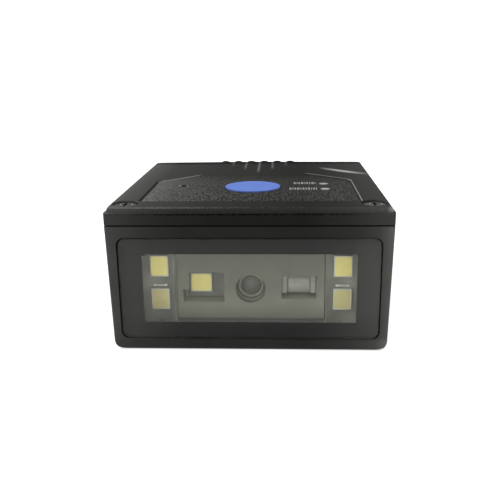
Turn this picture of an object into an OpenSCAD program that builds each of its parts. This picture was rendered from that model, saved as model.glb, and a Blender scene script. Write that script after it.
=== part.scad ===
// Compact fixed-mount barcode scanner: moulded housing and top cover, printed
// window, side light boards, imaging engine, main board and modular socket.
// X is across the front, +Y runs from the front face to the rear, +Z is up.
// The origin is the middle of the footprint, on the surface the base rests on.

/* [Body] */
// Width of the housing at the seam
body_w = 46; // [45:0.5:54]
// Depth from the front face to the rear face
body_d = 48; // [47:0.5:58]
// Height from the base to the top of the cover
body_h = 24; // [23.5:0.5:30]
// Lean of the two side walls, in degrees
side_draft = 1.3; // [0.5:0.1:2]
// Thickness of the side walls at the base
side_wall = 2.2; // [1.9:0.1:2.4]
// Thickness of the rear wall
rear_wall = 2.2; // [2:0.1:2.8]
// Thickness of the floor
floor_t = 1.8; // [1.4:0.1:2.2]
// Radius of the upright corners up to the cover's shoulder
edge_r = 0.5; // [0.4:0.1:1]
// Radius where the sides turn under the base
base_r = 1.4; // [1:0.1:2.2]
// Chamfer where the front and rear turn under the base
base_chamfer = 0.4; // [0.3:0.1:1]

/* [Seam] */
// Height of the top cover above the seam
cover_h = 2.9; // [2.6:0.05:3.2]
// Shadow gap between housing and cover
seam_gap = 0.2; // [0.1:0.05:0.3]
// Distance from the outer faces to the seal
seal_inset = 0.6; // [0.5:0.05:0.7]
// Width of the seal
seal_w = 0.8; // [0.7:0.05:0.9]
// Depth of the seal's groove in the rim
seal_depth = 0.4; // [0.3:0.05:0.6]

/* [Window] */
// Distance from the side faces to the window panel
window_side = 2; // [1.8:0.1:3]
// Distance from the seam to the window panel
window_top = 2.1; // [2:0.05:2.8]
// Height of the panel's lower edge above the base
window_z = 2.1; // [1.9:0.1:2.4]
// Radius of the panel's corners
window_r = 1.2; // [0.6:0.1:2]
// Thickness of the window panel
window_t = 1.2; // [1:0.1:1.5]
// Gap round the window panel
window_gap = 0.2; // [0.1:0.05:0.25]
// Depth of the panel's face below the front face
window_inset = 0.05; // [0.02:0.01:0.15]
// Thickness of the black printed mask
mask_t = 0.1; // [0.05:0.01:0.2]
// Thickness of the adhesive tape
tape_t = 0.3; // [0.2:0.05:0.4]
// Width of the mask at each side of the clear area
mask_side = 3.6; // [3.4:0.1:4.5]
// Width of the mask above the clear area
mask_top = 2.8; // [2.5:0.1:3.2]
// Width of the mask below the clear area
mask_low = 2.4; // [2.2:0.1:2.8]
// Thickness of the ledge behind the tape
ledge_t = 1.45; // [1.2:0.05:1.8]

/* [Top cover] */
// Thickness of the cover's plate
cover_plate = 1.8; // [1.6:0.05:1.9]
// Height of the shoulder round the cover's top
shoulder_h = 0.85; // [0.6:0.05:1]
// Ledge between the sides and the shoulder
shoulder_ledge = 0.2; // [0.1:0.05:0.3]
// Distance that the shoulder leans in
shoulder_in = 0.45; // [0.3:0.05:0.6]
// Radius of the shoulder's corners
shoulder_r = 1.5; // [1:0.1:2]
// Depth of the sunk panel
panel_depth = 0.3; // [0.15:0.05:0.4]
// Run of the sunk panel's sloping walls
panel_wall = 0.35; // [0.1:0.05:0.5]
// Distance from the side faces to the sunk panel
panel_side_in = 4.95; // [4.9:0.05:6]
// Distance from the front face to the panel
panel_front = 5.55; // [5.4:0.05:6.5]
// Length of the panel's straight sides
panel_side = 18.5; // [16:0.5:21]
// Length of the panel's slanted corners, front to rear
panel_slant = 6; // [4:0.5:7]
// Distance from the side faces to the panel's rear edge
panel_rear_in = 12.5; // [10:0.5:15]
// Distance from the rear face to the crease at the side
crease_rear = 18; // [14:0.5:20]
// Angle of the crease across the cover, in degrees
crease_turn = 39.5; // [30:0.5:45]
// Fall of the rear corners behind the crease, in degrees
crease_fall = 0.5; // [0.3:0.1:1.5]
// Diameter of the round badge
badge_d = 10; // [8:0.2:12]
// Thickness of the round badge
badge_t = 0.2; // [0.1:0.02:0.28]
// Distance from the front face to the badge's centre
badge_front = 18.8; // [17:0.1:20]

/* [Grip ribs] */
// Number of ribs across the rear of the cover
rib_count = 6; // [4:2:6]
// Distance between ribs
rib_pitch = 2.85; // [2.4:0.05:3.2]
// Width of a rib
rib_w = 1.8; // [1:0.1:2.2]
// Height of a rib at the rear, from where it fades
rib_h = 0.22; // [0.14:0.02:0.4]
// Length of an outer rib
rib_short = 6.5; // [4:0.5:7]
// Growth of each rib towards the middle
rib_step = 3.6; // [1:0.1:4]

/* [Cover fixing] */
// Distance from the front face to the cover's screws
screw_front = 3.65; // [3.6:0.05:3.9]
// Distance from the side face to the cover's screws
screw_side = 2.9; // [2.85:0.05:3.1]
// Depth of a screw's seat in the cover
seat_depth = 1.5; // [1.4:0.05:1.6]
// Diameter of a screw's seat in the cover
seat_d = 4.5; // [4.35:0.05:4.6]
// Diameter of the cover's screw heads
cover_head_d = 4; // [3.8:0.05:4.15]
// Length of the cover's screw bosses
corner_boss_l = 6; // [5.6:0.1:6.4]
// Width of a rear hook
hook_w = 5; // [4:0.5:6]
// Distance of a rear hook from the middle
hook_x = 13.5; // [12.5:0.1:14.5]
// Length of a rear hook below the plate
hook_l = 4.8; // [4.4:0.1:5]
// Reach of a hook's barb into the rear wall
hook_reach = 0.6; // [0.4:0.05:0.8]

/* [Screws] */
// Diameter of the screws
screw_d = 2; // [1.8:0.05:2.1]
// Diameter of the screw heads
head_d = 3.5; // [3.3:0.05:3.6]
// Height of the screw heads
head_h = 1.3; // [1:0.05:1.4]
// Length of a cover screw
cover_screw_l = 6; // [5:0.5:6.5]
// Length of a board screw
board_screw_l = 5; // [4:0.5:8]
// Diameter of a countersunk engine screw
engine_screw_d = 1.6; // [1.4:0.05:1.8]
// Length of a countersunk engine screw
engine_screw_l = 3.2; // [2.6:0.1:3.8]

/* [Mounting inserts] */
// Distance between inserts across the base
mount_x = 26; // [24:0.5:27]
// Distance between inserts along the base
mount_y = 14; // [12:0.5:15]
// Distance from the rear face to the rear inserts
mount_rear = 9.5; // [9:0.5:11]
// Outer diameter of an insert
insert_d = 4.2; // [4:0.05:4.4]
// Length of an insert
insert_l = 4.5; // [4:0.1:5]
// Bore of an insert, for a metric 3 screw
insert_bore = 2.5; // [2.4:0.05:2.7]
// Diameter of the moulded boss round an insert
mount_boss_d = 6.4; // [6:0.1:7]

/* [Light boards] */
// Gap between the engine and the light boards
led_side_gap = 0.3; // [0.25:0.05:0.5]
// Gap from the ledge to the light boards
led_gap = 2.3; // [2.1:0.05:2.5]
// Gap between a light board and the side wall
led_wall_gap = 1.75; // [1.6:0.05:1.9]
// Height of a light board
led_board_h = 13.2; // [13:0.05:13.3]
// Thickness of a light board
led_board_t = 1; // [0.8:0.05:1.2]
// Width of the tab that is soldered into the main board
led_tab_w = 1.8; // [1.5:0.1:1.9]
// Distance from a light board's middle to the lights' middle
led_inset = 0.25; // [0.1:0.05:0.4]
// Length of a light
led_l = 3.65; // [3.4:0.05:3.7]
// Width of a light
led_w = 3.05; // [2.8:0.05:3.2]
// Height of a light
led_h = 0.7; // [0.5:0.05:0.9]
// Height of the upper lights' middle above the base
led_high_z = 13.1; // [12.9:0.05:13.2]
// Height of the lower lights' middle above the base
led_low_z = 7.3; // [7.1:0.05:7.4]

/* [Imaging engine] */
// Width of the engine
engine_w = 25; // [24:0.2:25.4]
// Height of the engine
engine_h = 11.8; // [11.4:0.1:12]
// Depth of the engine's block
engine_d = 9; // [8:0.2:10]
// Gap from the ledge to the engine's face
engine_gap = 2.9; // [2.6:0.1:3.4]
// Height of the lens axis above the engine's underside
lens_up = 5.7; // [5.2:0.1:6]
// Diameter of the lens barrel
barrel_d = 4.5; // [4.2:0.05:4.8]
// Length of the lens barrel
barrel_l = 4; // [3.6:0.1:4.4]
// Diameter of the opening in the barrel's face
aperture_d = 3.7; // [3:0.05:3.8]
// Diameter of the countersink round the lens
lens_sink_d = 5.1; // [5:0.05:5.6]
// Depth of the barrel's face in the engine
barrel_sink = 1.8; // [1.4:0.1:2]
// Distance from the engine's side to the middle of its own light
flash_side = 3.9; // [3.8:0.05:4.2]
// Width of the engine's own light
flash_w = 3.65; // [3.4:0.05:3.7]
// Height of the engine's own light
flash_h = 3.3; // [2.9:0.1:3.5]
// Depth of the engine's own light in its opening
flash_sink = 2; // [1.6:0.1:2.4]
// Distance from the engine's side to the middle of the aiming lens
aimer_side = 4.3; // [4.1:0.05:4.5]
// Width of the aiming lens
aimer_w = 5.65; // [5.4:0.05:5.8]
// Height of the aiming lens
aimer_h = 3; // [2.8:0.1:3.2]
// Depth of the aiming lens's face in the engine
aimer_sink = 1; // [0.8:0.1:1.3]
// Thickness of the engine's circuit board
engine_board_t = 1; // [0.8:0.1:1.2]

/* [Main board] */
// Thickness of the main board
board_t = 1.2; // [1:0.05:1.6]
// Gap between the engine and the main board
board_gap = 1.2; // [1.1:0.05:1.6]
// Gap between the main board and the side walls
board_side_gap = 0.6; // [0.4:0.05:0.9]
// Gap between the main board and the front wall
board_front_gap = 1.3; // [1:0.1:1.5]
// Gap between the main board and the rear wall
board_rear_gap = 1.8; // [1.7:0.1:2.2]
// Diameter of the posts under the main board
post_d = 4.4; // [4:0.1:4.6]
// Distance from the front face to the front posts
post_front = 18; // [17.8:0.1:18.6]
// Distance from the rear face to the rear posts
post_rear = 8.5; // [8:0.1:9.5]
// Distance from the side face to the status lights
status_side = 9.95; // [9:0.05:11]
// Distance from the front face to the power light
power_front = 17; // [16.6:0.1:17.4]
// Distance from the front face to the scan light
scan_front = 22; // [21.6:0.1:22.6]
// Diameter of a status light pipe
pipe_d = 1.6; // [1.2:0.05:2]
// Distance from the side face to the beeper's middle
beeper_side = 10.3; // [10:0.05:11]
// Distance from the front face to the beeper
beeper_front = 20.3; // [20:0.1:20.6]
// Width of the beeper
beeper_w = 5.4; // [5:0.1:5.5]
// Height of the beeper
beeper_h = 2.2; // [1.6:0.1:2.4]
// Diameter of the beeper's sound hole
sound_d = 0.9; // [0.6:0.05:1.4]

/* [Modular socket] */
// Width of the socket
jack_w = 16; // [15.5:0.1:16.4]
// Height of the socket
jack_h = 11.5; // [11.2:0.1:11.6]
// Depth of the socket
jack_d = 16; // [15:0.2:18]
// Width of the plug's cavity
plug_w = 11.8; // [11.6:0.05:12]
// Height of the plug's cavity
plug_h = 6.6; // [6.5:0.05:6.8]
// Depth of the plug's cavity
plug_d = 12.5; // [12:0.1:13]
// Number of contacts
contact_count = 8; // [6:2:8]
// Distance between contacts
contact_pitch = 1.02; // [1:0.01:1.1]

/* [Hidden] */
$fn = 48;

// General clearances and small sizes
bracket_t = 1.2;     // thickness of the optics bracket
bracket_screw_l = 4; // length of the screws that hold it
sliver = 0.01;       // thickness of the slices that a hull joins
over = 1;            // how far a cut runs past a face
slip = 0.15;         // gap between moulded pieces that slide together
hole_play = 0.05;    // radial play of a shank in its hole
air = 0.3;           // gap between a light pipe and its light

// Levels and faces that everything else hangs from
front_y = -body_d / 2;
rear_y = body_d / 2;
seam_z = body_h - cover_h;
rim_z = seam_z - seam_gap / 2;
skirt_z = seam_z + seam_gap / 2;
taper = seam_z * tan(side_draft);
inner_w = body_w - 2 * (taper + side_wall);
recess_d = window_inset + window_t + mask_t + tape_t;
inner_front = front_y + recess_d + ledge_t;
inner_rear = rear_y - rear_wall;
inner_d = inner_rear - inner_front;
inner_mid = (inner_front + inner_rear) / 2;
inner_r = 1;
engine_face = inner_front + engine_gap;
engine_z = floor_t + bracket_t;
engine_top = engine_z + engine_h;
cover_under = body_h - cover_plate;
panel_z = body_h - panel_depth;
window_w = body_w - 2 * window_side;
window_h = seam_z - window_top - window_z;
window_mid = window_z + window_h / 2;
clear_w = window_w - 2 * mask_side;
clear_h = window_h - mask_top - mask_low;
clear_z = window_z + mask_low;
clear_mid = clear_z + clear_h / 2;

// Opening through the ledge behind the window
sight_side = 0.8;
sight_low = 0.9;
sight_high = 0.6;
sight_w = clear_w + 2 * sight_side;
sight_h = clear_h + sight_low + sight_high;
sight_mid = clear_z - sight_low + sight_h / 2;
tape_edge = 0.3;
tape_inner = 0.2;

// Cover screws, hooks and the tongue that locates the cover
screw_x = body_w / 2 - screw_side;
screw_y = front_y + screw_front;
corner_boss_d = 4.2;
pilot_d = screw_d + 2 * hole_play;
tongue_t = 1;
tongue_l = 1.2;
tongue_corner = 4.4;
hook_t = 1.2;
barb_h = 1.4;
barb_play = 0.1;
pocket_h = barb_h + 2 * barb_play;
hook_low = cover_under - hook_l;

// Inserts in the base
mount_rear_y = rear_y - mount_rear;
mount_mid_y = mount_rear_y - mount_y / 2;
mount_boss_h = insert_l + 1;
insert_flange_d = 5;
insert_flange_h = 0.5;

// Main board, its posts and its outline
board_under = engine_top + board_gap;
board_top = board_under + board_t;
status_x = body_w / 2 - status_side;
beeper_x = body_w / 2 - beeper_side;
board_w = inner_w - 2 * board_side_gap;
board_front = inner_front + board_front_gap;
board_rear = inner_rear - board_rear_gap;
post_x = inner_w / 2 - slip - tongue_t - head_d / 2 - hole_play;
post_front_y = front_y + post_front;
post_rear_y = rear_y - post_rear;
notch_x = screw_x - corner_boss_d / 2 - 0.2;
notch_y = screw_y + corner_boss_d / 2 + 0.4;
web_t = 1.6;

// Light boards
led_board_in = engine_w / 2 + led_side_gap;
led_board_out = inner_w / 2 - led_wall_gap;
led_board_w = led_board_out - led_board_in;
led_x = (led_board_in + led_board_out) / 2 - led_inset;
led_shift = 0.2;     // the left lights sit this much further in
led_face = inner_front + led_gap;
led_back = led_face + led_board_t;
led_board_z = 2.1;
led_board_top = led_board_z + led_board_h;
led_tab_x = led_board_in + 0.05 + led_tab_w / 2;
led_tab_over = 0.6;
peg_d = 0.8;
peg_z = 2.85;
resistor_l = 2.3;
resistor_w = 0.35;
resistor_h = 0.35;
resistor_z = (led_high_z + led_low_z) / 2 - 0.55;

// Bracket that carries the engine and the light boards
bracket_top = floor_t + bracket_t;
upright_t = 2.2;
upright_edge = 0.15;
upright_h = led_board_top - 0.4 - floor_t;
ear_r = 2.3;
ear_x = engine_w / 2 + 0.5 + ear_r;
ear_back = 6.5;
ear_y = engine_face + ear_back;
ear_z = floor_t + 3.2;
ear_w = 3.4;

// Imaging engine
engine_rear = engine_face + engine_d;
lens_z = engine_z + lens_up;
barrel_y = engine_face + barrel_sink;
barrel_end = barrel_y + barrel_l;
barrel_play = 0.02;
lens_sink = barrel_sink + 0.3;
sensor_w = 5.4;
sensor_h = 4.6;
sensor_t = 1.1;
sensor_room_w = 6.4;
sensor_room_h = 7;
small_board_t = 0.6;
small_board_w = 6.5;
flash_x = engine_w / 2 - flash_side;
aimer_x = engine_w / 2 - aimer_side;
small_board_h = 5.6;
aimer_play = 0.1;
shoulder_y = engine_face + flash_sink + led_h;
flash_mid_z = lens_z + 0.44;
flash_open_w = 6;
flash_open_x = -flash_x + 1.1;
flash_open_low = lens_z - 2.4;
flash_open_h = 5.25;
flash_notch_w = 1.05;
flash_notch_h = 2.2;
aimer_low = lens_z - 1.05;
aimer_open_low = lens_z - 1.8;
aimer_open_h = 4;
aimer_d = shoulder_y - engine_face - aimer_sink;
aimer_crown_r = 2.4;
aimer_cheek_w = 0.8;
aimer_slot_w = 0.25;
aimer_light_w = 2;
aimer_light_h = 1.2;
pin_d = 0.6;
pin_spread = 2;
csk_d = 3;
csk_h = 0.9;
engine_screw_x = 9.5;
engine_screw_y = engine_face + 4.5;
connector_w = 9;
connector_t = 1.2;
connector_h = 2.6;
connector_top = engine_top - 1.2;

// Flat flexible cable between the engine and the main board
flex_w = 8;
flex_t = 0.2;
flex_r = 1;
flex_y = engine_rear + engine_board_t + connector_t / 2;
flex_z = board_under - connector_t / 2;
flex_run = 6.4;
flex_socket_l = 3;
socket_front = flex_y + flex_run;

// Status lights and the collars of their light pipes
status_w = 1.6;
status_l = 1.2;
status_h = 0.6;
collar_d = pipe_d + 1.2;
collar_h = 0.8;

// Components on the main board: places, then sizes
processor_y = 3;
processor_w = 12;
processor_h = 1.2;
memory_x = 12;
memory_y = 7;
memory_w = 8;
memory_l = 6;
memory_h = 1;
crystal_y = -6;
crystal_w = 5;
crystal_l = 3.2;
crystal_h = 1;
regulator_x = 11;
regulator_y = 6;
regulator_w = 6.5;
regulator_l = 3.6;
regulator_h = 1.6;
inductor_x = 10.5;
inductor_y = 13;
inductor_w = 5;
inductor_h = 2.2;
capacitor_count = 4;
capacitor_pitch = 3;
capacitor_y = 12.5;
capacitor_w = 1.6;
capacitor_l = 2.6;
capacitor_h = 1.4;

// Modular socket
jack_low = board_under - jack_h;
jack_front = rear_y - jack_d;
jack_play = 0.2;
plug_roof = board_under - 1.2;
plug_floor = plug_roof - plug_h;
latch_w = 6.4;
latch_h = 1.4;
key_w = 3.4;
key_h = 1.2;
contact_w = 0.45;
contact_t = 0.3;
contact_mouth = 2.4;
contact_dip = 1.9;

// Round-cornered rectangle, centred, with true arcs
module round_rect(w, h, r) {
    square([w - 2 * r, h], center = true);
    square([w, h - 2 * r], center = true);
    for (x = [-1, 1], y = [-1, 1])
        translate([x * (w / 2 - r), y * (h / 2 - r)]) circle(r = r);
}

// Extrudes an X-Z outline from y0 to y1
module along_y(y0, y1) {
    translate([0, y1, 0]) rotate([90, 0, 0]) linear_extrude(height = y1 - y0) children();
}

// Extrudes a Y-Z outline from x0 to x1
module along_x(x0, x1) {
    translate([x0, 0, 0]) rotate([90, 0, 90]) linear_extrude(height = x1 - x0) children();
}

// Block between two corners
module block(low, high) {
    translate(low) cube(high - low);
}

// Thin slice of a plan outline, for a hull to join
module slice(z, w, d, r) {
    translate([0, 0, z]) linear_extrude(height = sliver) round_rect(w, d, r, $fn = 32);
}

module both_sides() {
    children();
    mirror([1, 0, 0]) children();
}

// Pan-head screw, head seat at z = 0 and shank downwards
module pan_screw(length, head = head_d) {
    slot_w = 0.45;
    slot_l = head * 0.55;
    difference() {
        rotate_extrude() polygon([
            [0, 0], [head / 2, 0], [head / 2, head_h * 0.72],
            [head * 0.45, head_h * 0.92], [head * 0.3, head_h], [0, head_h]
        ]);
        for (a = [0, 90])
            rotate([0, 0, a]) translate([-slot_l / 2, -slot_w / 2, head_h * 0.45])
                cube([slot_l, slot_w, head_h]);
    }
    translate([0, 0, -length + screw_d / 2]) cylinder(d = screw_d, h = length - screw_d / 2);
    translate([0, 0, -length]) cylinder(d1 = screw_d * 0.3, d2 = screw_d, h = screw_d / 2);
}

module housing_outside() {
    hull() {
        for (a = [0 : 22.5 : 90]) {
            z = base_r * (1 - cos(a));
            side_in = base_r * (1 - sin(a)) + (seam_z - z) * tan(side_draft);
            end_in = max(0, base_chamfer - z);
            slice(z, body_w - 2 * side_in, body_d - 2 * end_in, edge_r);
        }
        slice(rim_z - sliver, body_w, body_d, edge_r);
    }
}

module inside_outline(shrink = 0) {
    translate([0, inner_mid])
        round_rect(inner_w - 2 * shrink, inner_d - 2 * shrink, inner_r);
}

module housing_posts() {
    // Posts under the main board, each tied to the side wall by a web
    for (y = [post_front_y, post_rear_y]) {
        translate([post_x, y, floor_t - sliver])
            cylinder(d = post_d, h = board_under - floor_t + sliver);
        block([post_x, y - web_t / 2, floor_t - sliver],
              [inner_w / 2 + side_wall / 2, y + web_t / 2, board_under - 2]);
    }
    // Corner boss for a cover screw
    intersection() {
        translate([screw_x, screw_y, rim_z - corner_boss_l]) {
            cylinder(d = corner_boss_d, h = corner_boss_l);
            translate([0, -corner_boss_d / 2, 0])
                cube([screw_side, corner_boss_d, corner_boss_l]);
            translate([-corner_boss_d / 2, -screw_front, 0])
                cube([corner_boss_d, screw_front, corner_boss_l]);
        }
        block([0, inner_front - sliver - ledge_t / 2, 0],
              [inner_w / 2 + side_wall / 2, 0, rim_z]);
    }
    // Boss for the bracket
    translate([ear_x, ear_y, floor_t - sliver])
        cylinder(d = 2 * ear_r, h = ear_z - floor_t + sliver);
}

module mount_places() {
    for (x = [-1, 1], y = [-1, 1])
        translate([x * mount_x / 2, mount_mid_y + y * mount_y / 2, 0]) children();
}

module housing() {
    color("#2b2b2a") difference() {
        union() {
            difference() {
                housing_outside();
                translate([0, 0, floor_t]) linear_extrude(height = body_h) inside_outline();
            }
            both_sides() housing_posts();
            mount_places() translate([0, 0, floor_t - sliver])
                cylinder(d = mount_boss_d, h = mount_boss_h - floor_t + sliver);
        }
        // Seat for the window and the opening through its ledge
        along_y(front_y - over, front_y + recess_d) translate([0, window_mid])
            round_rect(window_w + 2 * window_gap, window_h + 2 * window_gap,
                       window_r + window_gap);
        along_y(front_y, inner_front + over) translate([0, sight_mid])
            square([sight_w, sight_h], center = true);
        // Groove for the seal
        translate([0, 0, rim_z - seal_depth]) linear_extrude(height = seal_depth + over)
            seal_outline();
        // Opening for the socket
        block([-jack_w / 2 - jack_play, inner_rear - over, jack_low - jack_play],
              [jack_w / 2 + jack_play, rear_y + over, board_under + jack_play]);
        both_sides() {
            // Pilot holes for the cover, board and bracket screws
            translate([screw_x, screw_y, rim_z - corner_boss_l + 0.6])
                cylinder(d = pilot_d, h = corner_boss_l + over);
            for (y = [post_front_y, post_rear_y])
                translate([post_x, y, board_under - board_screw_l])
                    cylinder(d = pilot_d, h = board_screw_l + over);
            translate([ear_x, ear_y, floor_t + 0.2])
                cylinder(d = pilot_d, h = ear_z - floor_t + over);
            // Pocket that a hook of the cover catches in
            block([hook_x - hook_w / 2 - slip, inner_rear - over, hook_low - barb_play],
                  [hook_x + hook_w / 2 + slip, inner_rear + hook_reach + slip,
                   hook_low - barb_play + pocket_h]);
        }
        // Stepped holes for the inserts
        mount_places() {
            translate([0, 0, -over]) cylinder(d = insert_d, h = insert_l + over);
            translate([0, 0, -over]) cylinder(d = insert_flange_d, h = insert_flange_h + over);
        }
    }
}

module seal_outline() {
    difference() {
        round_rect(body_w - 2 * seal_inset, body_d - 2 * seal_inset, 1.2);
        round_rect(body_w - 2 * (seal_inset + seal_w), body_d - 2 * (seal_inset + seal_w), 0.6);
    }
}

module cover_seal() {
    color("#1c1c1c") translate([0, 0, rim_z - seal_depth])
        linear_extrude(height = seal_depth + seam_gap) seal_outline();
}

// Sunk panel's floor as an outline on the cover
module panel_outline() {
    x1 = body_w / 2 - panel_side_in;
    x2 = body_w / 2 - panel_rear_in;
    y0 = front_y + panel_front;
    y1 = y0 + panel_side;
    y2 = y1 + panel_slant;
    polygon([[-x1, y0], [x1, y0], [x1, y1], [x2, y2], [-x2, y2], [-x1, y1]]);
}

// Sunk panel: sloping walls, and a floor that runs out towards the rear
module panel_cut() {
    ramp_y = front_y + panel_front + panel_side;
    difference() {
        hull() {
            translate([0, 0, panel_z]) linear_extrude(height = sliver) panel_outline();
            translate([0, 0, body_h + panel_depth]) linear_extrude(height = sliver)
                offset(delta = 2 * panel_wall) panel_outline();
        }
        translate([-body_w / 2, ramp_y, panel_z]) rotate([atan(panel_depth / panel_slant), 0, 0])
            translate([0, 0, -over]) cube([body_w, body_d, over]);
    }
}

module cover_outside() {
    hull() {
        slice(skirt_z, body_w, body_d, edge_r);
        slice(body_h - shoulder_h - sliver, body_w, body_d, edge_r);
    }
    // Shoulder with rounder corners, set in by a ledge
    hull() for (step = [[0, 0], [0.6, 0.35], [1, 1]]) {
        inset = shoulder_ledge + shoulder_in * step[1];
        slice(body_h - sliver - (shoulder_h + sliver) * (1 - step[0]), body_w - 2 * inset,
              body_d - 2 * inset, shoulder_r - shoulder_in * step[1]);
    }
}

// Rounded ribs across the rear edge, longest in the middle, that fade forwards
module grip_ribs() {
    r = (rib_w * rib_w / 4 + rib_h * rib_h) / (2 * rib_h);
    end_y = rear_y - shoulder_ledge - shoulder_in;
    for (i = [0 : rib_count - 1]) {
        from_middle = abs(i - (rib_count - 1) / 2) - 0.5;
        length = rib_short + rib_step * (rib_count / 2 - 1 - from_middle);
        translate([(i - (rib_count - 1) / 2) * rib_pitch, end_y, body_h]) intersection() {
            translate([0, 0, rib_h]) rotate([90 + atan(rib_h / length), 0, 0])
                translate([0, -r, -over]) cylinder(r = r, h = length + 2 * over);
            translate([-r, -length - over, -rib_h]) cube([2 * r, length + over, 3 * rib_h]);
        }
    }
}

// Half-space over the rear corner, behind the crease
module corner_fall() {
    reach = body_w;
    translate([body_w / 2, rear_y - crease_rear, body_h]) rotate([0, 0, -crease_turn])
        rotate([-crease_fall, 0, 0]) translate([-reach, 0, 0]) cube([2 * reach, reach, over]);
}

module hook() {
    back = inner_rear - slip;
    along_x(hook_x - hook_w / 2, hook_x + hook_w / 2) polygon([
        [back - hook_t, cover_under + sliver], [back, cover_under + sliver],
        [back, hook_low + barb_h], [inner_rear + hook_reach, hook_low + barb_h],
        [inner_rear + hook_reach, hook_low + barb_h / 2], [back, hook_low],
        [back - hook_t, hook_low]
    ]);
}

module top_cover() {
    color("#323231") difference() {
        union() {
            difference() {
                cover_outside();
                translate([0, 0, skirt_z - over])
                    linear_extrude(height = cover_under - skirt_z + over) inside_outline();
                panel_cut();
                both_sides() corner_fall();
            }
            grip_ribs();
            // Tongue that drops inside the housing's walls
            difference() {
                translate([0, 0, rim_z - tongue_l])
                    linear_extrude(height = cover_under - rim_z + tongue_l + sliver) difference() {
                        inside_outline(slip);
                        inside_outline(slip + tongue_t);
                    }
                both_sides() block(
                    [inner_w / 2 - tongue_corner, inner_front - over, rim_z - tongue_l - over],
                    [inner_w / 2 + over, inner_front + tongue_corner, cover_under]
                );
            }
            both_sides() {
                // Boss that bears on the housing's corner boss, clear of the seal
                intersection() {
                    translate([screw_x, screw_y, rim_z])
                        cylinder(d = corner_boss_d - 0.4, h = body_h - seat_depth - rim_z);
                    block([0, -body_d, 0], [body_w / 2 - seal_inset - seal_w - 0.1, 0, body_h]);
                }
                hook();
            }
        }
        both_sides() {
            translate([screw_x, screw_y, body_h - seat_depth])
                cylinder(d = seat_d, h = seat_depth + over);
            translate([screw_x, screw_y, rim_z - over])
                cylinder(d = pilot_d + 0.2, h = cover_h + 2 * over);
        }
        for (y = [power_front, scan_front])
            translate([status_x, front_y + y, cover_under - over])
                cylinder(d = pipe_d + 2 * hole_play, h = cover_plate + 2 * over);
        translate([-beeper_x, front_y + beeper_front, cover_under - over])
            cylinder(d = sound_d, h = cover_plate + 2 * over);
        translate([-beeper_x, front_y + beeper_front, panel_z - 0.5])
            cylinder(d1 = sound_d, d2 = sound_d + 1.1, h = 0.5 + sliver);
    }
}

module cover_screws() {
    color("#3c3c3c") both_sides()
        translate([screw_x, screw_y, body_h - seat_depth]) pan_screw(cover_screw_l, cover_head_d);
}

module window_panel() {
    color("#9a9a92", 0.4) along_y(front_y + window_inset, front_y + window_inset + window_t)
        translate([0, window_mid]) round_rect(window_w, window_h, window_r);
}

module window_mask() {
    y0 = front_y + window_inset + window_t;
    color("#141414") along_y(y0, y0 + mask_t) difference() {
        translate([0, window_mid]) round_rect(window_w, window_h, window_r);
        translate([0, clear_mid]) square([clear_w, clear_h], center = true);
    }
}

module window_tape() {
    y1 = front_y + recess_d;
    color("#202020") along_y(y1 - tape_t, y1) difference() {
        translate([0, window_mid])
            round_rect(window_w - 2 * tape_edge, window_h - 2 * tape_edge, window_r);
        translate([0, sight_mid])
            square([sight_w + 2 * tape_inner, sight_h + 2 * tape_inner], center = true);
    }
}

module badge() {
    color("#5f7fd2") translate([0, front_y + badge_front, panel_z])
        cylinder(d = badge_d, h = badge_t);
}

module light_pipe(from_front) {
    low = board_top + status_h + air;
    color("#d8d8d2") translate([status_x, front_y + from_front, 0]) {
        translate([0, 0, low]) cylinder(d = pipe_d, h = panel_z - low);
        translate([0, 0, cover_under - collar_h]) cylinder(d = collar_d, h = collar_h);
    }
}

module power_light_pipe() { light_pipe(power_front); }
module scan_light_pipe() { light_pipe(scan_front); }

// Knurled brass inserts with a flange at the base
module mount_inserts() {
    teeth = 20;
    groove = 0.12;
    color("#b8923c") mount_places() difference() {
        union() {
            cylinder(d = insert_d - 2 * groove, h = insert_l);
            for (z = [insert_flange_h + 0.4, insert_l - 1.7])
                translate([0, 0, z]) linear_extrude(height = 1.3) for (i = [0 : teeth - 1])
                    rotate([0, 0, i * 360 / teeth]) translate([insert_d / 2 - 0.35, 0])
                        circle(r = 0.33, $fn = 4);
            cylinder(d = insert_flange_d - 2 * hole_play, h = insert_flange_h - hole_play);
        }
        translate([0, 0, -over]) cylinder(d = insert_bore, h = insert_l + 2 * over);
    }
}

module optics_bracket() {
    upright_in = led_board_in - upright_edge;
    upright_out = led_board_out + upright_edge;
    color("#5e5e58") difference() {
        union() {
            block([-engine_w / 2, engine_face + 0.2, floor_t],
                  [engine_w / 2, engine_rear - 1.2, bracket_top]);
            both_sides() {
                // Foot and upright behind a light board
                block([engine_w / 2 - over, led_back, floor_t],
                      [upright_out, led_back + upright_t, bracket_top]);
                block([upright_in, led_back, floor_t],
                      [upright_out, led_back + upright_t, floor_t + upright_h]);
                // Ear over the boss, with the rib that stiffens it
                translate([ear_x, ear_y, ear_z]) cylinder(r = ear_r, h = bracket_t);
                block([ear_x - ear_w / 2, led_back + upright_t - sliver, ear_z],
                      [ear_x + ear_w / 2, ear_y, ear_z + bracket_t]);
                along_x(upright_in, upright_in + 1) polygon([
                    [led_back + upright_t - sliver, ear_z],
                    [ear_y - ear_r, ear_z], [led_back + upright_t - sliver, led_board_top - 2]
                ]);
                // Peg that locates the light board
                along_y(led_face - 0.2, led_back + sliver) translate([led_x, peg_z])
                    circle(d = peg_d);
            }
        }
        both_sides() {
            translate([ear_x, ear_y, floor_t]) cylinder(d = pilot_d + 0.2, h = body_h);
            translate([engine_screw_x, engine_screw_y, floor_t - over])
                cylinder(d = engine_screw_d + 2 * hole_play, h = bracket_t + 2 * over);
            translate([engine_screw_x, engine_screw_y, floor_t])
                cylinder(d1 = csk_d + 0.2, d2 = engine_screw_d + 2 * hole_play, h = csk_h + 0.1);
        }
    }
}

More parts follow.
